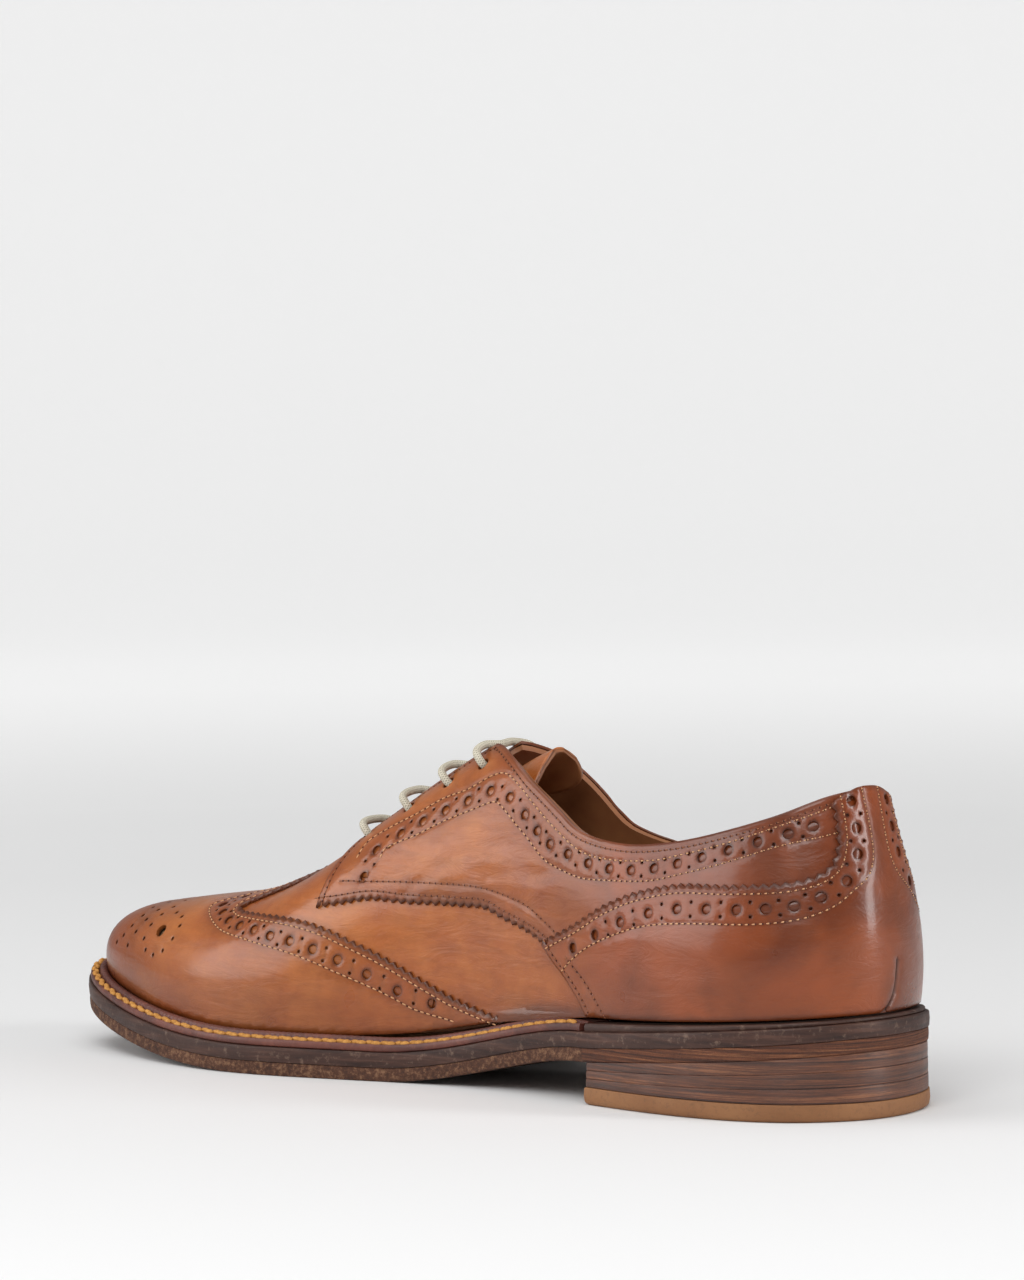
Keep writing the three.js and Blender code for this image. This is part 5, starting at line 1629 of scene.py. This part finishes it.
def sew(name, lines, pitch, length, thread, prick, finish="upper_thread"):
    """Stitches along finished lines, as a plain mesh."""
    places, edges = [], []
    for line in lines:
        start = len(places)
        places += metres(line).tolist()
        edges += [(start + i, start + i + 1) for i in range(len(line) - 1)]
    mesh = bpy.data.meshes.new(name + "_rows")
    mesh.from_pydata(places, edges, [])
    rows = bpy.data.objects.new(name + "_rows", mesh)
    bpy.context.scene.collection.objects.link(rows)
    work = rows.modifiers.new("stitches", "NODES")
    work.node_group = STITCH
    ids = {s.name: s.identifier for s in STITCH.interface.items_tree if s.in_out == "INPUT"}
    for key, value in (("Pitch", pitch), ("Length", length), ("Thread", thread), ("Prick", prick),
                       ("Thread finish", FINISH[finish]), ("Prick finish", FINISH["needle"])):
        work[ids[key]] = value
    view = bpy.context.evaluated_depsgraph_get()
    done = bpy.data.meshes.new_from_object(rows.evaluated_get(view))
    bpy.data.objects.remove(rows)
    obj = bpy.data.objects.new(name, done)
    bpy.context.scene.collection.objects.link(obj)
    done.polygons.foreach_set("use_smooth", [True] * len(done.polygons))
    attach(obj, "shoe body")
    print(name, len(done.polygons), "faces")
    return obj


# %% Sewing
sew("pale_row_stitching", stitch_lines["pale"], 0.0021, 0.0014, 0.00044, 0.00056)
sew("dark_row_stitching", stitch_lines["dark"], 0.0021, 0.0014, 0.00042, 0.00062, "dark_thread")
WELT_PITCH = 2.4
u = np.linspace(WELT_FROM + 0.12, RING - WELT_FROM - 0.12, 1400)
welt_row = edge_point(u, 2.0)
welt_row = np.column_stack([welt_row, mid_top(welt_row[:, 0]) + WELT + 0.12])
far = run_of(welt_row)
turns = np.arange(0, far[-1], WELT_PITCH)
sway = np.where(np.arange(len(turns)) % 2 == 0, -0.4, 0.4)
place = edge_point(np.interp(turns, far, u), 2.0 + sway)
welt_row = np.column_stack([place, mid_top(place[:, 0]) + WELT + 0.15])
welt_stitching = sew("welt_stitching", [welt_row], WELT_PITCH / 1000 * 1.05, 0.0034, 0.0016, 0.0008,
                     "thread")
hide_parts("welt_thread")

# %% [markdown]
# ## Hidden parts
# Stiffeners, rib, cork and shank never show, but they are there, so each keeps its own body from
# the frame and takes a plain finish.

# %% Finish for the inner parts
HIDDEN = {"toe_puff": "leatherboard", "heel_stiffener": "leatherboard", "facing_stay_medial": "leatherboard",
          "facing_stay_lateral": "leatherboard", "insole_rib": "leatherboard", "cork_filler": "cork",
          "shank": "steel", "aglet_1": "steel", "aglet_2": "steel"}
for node, finish in HIDDEN.items():
    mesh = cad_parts[node].data
    mesh.materials.clear()
    mesh.materials.append(FINISH[finish])
print("hidden parts dressed", len(HIDDEN))

# %% [markdown]
# ## Floor and light
# The shoe stands on a plain pale floor that turns up into a wall far off. Broad soft lamps above
# and beside it give long quiet highlights on the waxed leather.

# %% Studio


def studio():
    """A pale dish of a floor, so that every view has the same plain ground."""
    profile = [(k / 5, 0.0) for k in range(2, 12)]
    profile += [(2.6, 0.02), (2.9, 0.09), (3.15, 0.22), (3.35, 0.42), (3.5, 0.7), (3.6, 1.1), (3.65, 1.8)]
    places, n = [(0.0, 0.0, 0.0)], 96
    for r, z in profile:
        places += [(r * math.cos(a), r * math.sin(a), z) for a in 2 * np.pi * np.arange(n) / n]
    faces = [(0, 1 + i, 1 + (i + 1) % n) for i in range(n)]
    faces += [tuple(1 + v for v in f[::-1]) for f in bands(len(profile), n)]
    mesh = bpy.data.meshes.new("floor")
    mesh.from_pydata(places, [], faces)
    mesh.polygons.foreach_set("use_smooth", [True] * len(mesh.polygons))
    rise = mesh.attributes.new("rise", "FLOAT", "POINT")
    rise.data.foreach_set("value", [0.08 * float(ease(r, 0.1, 0.5)) + 0.47 * float(ease(r, 0.4, 1.8))
                                    for r in (math.hypot(x, y) for x, y, z in places)])
    floor = bpy.data.objects.new("floor", mesh)
    bpy.context.scene.collection.objects.link(floor)
    pale = Finish("pale_floor", roughness=0.9)
    pale.shader.inputs["Base Color"].default_value = (0.78, 0.78, 0.78, 1)
    pale.shader.inputs["Emission Color"].default_value = (1, 1, 1, 1)
    seen = pale.tree.nodes.new("ShaderNodeLightPath").outputs["Is Camera Ray"]
    pale.join(pale.sum(pale.mark("rise"), seen, "MULTIPLY"), pale.shader.inputs["Emission Strength"])
    pale.shader.inputs["Specular IOR Level"].default_value = 0.1
    mesh.materials.append(pale.material)
    return floor


def lamp(name, place, aim, size, power):
    """A soft lamp turned towards a point."""
    data = bpy.data.lights.new(name, "AREA")
    data.shape = "RECTANGLE"
    data.size, data.size_y = size
    data.energy = power
    obj = bpy.data.objects.new(name, data)
    obj.location = place
    obj.rotation_euler = (Vector(aim) - Vector(place)).to_track_quat("-Z", "Y").to_euler()
    bpy.context.scene.collection.objects.link(obj)
    return obj


floor = studio()
world = bpy.data.worlds.new("studio_air")
bpy.context.scene.world = world
world.use_nodes = True
world.node_tree.nodes["Background"].inputs["Color"].default_value = (1.0, 1.0, 1.0, 1)
world.node_tree.nodes["Background"].inputs["Strength"].default_value = 0.25
lamp("top_softbox", (0.1, 0.2, 1.5), (0, 0, 0.03), (1.5, 1.5), 9)
lamp("front_softbox", (-0.75, 1.15, 1.15), (0, 0, 0.05), (1.1, 0.7), 14)
lamp("side_softbox", (1.05, 1.2, 0.65), (0, 0, 0.05), (1.1, 1.0), 11)
lamp("heel_softbox", (-1.3, -0.5, 0.5), (-0.1, 0, 0.05), (0.25, 1.0), 8)
bpy.context.scene.view_settings.view_transform = "Standard"
print("studio lit")
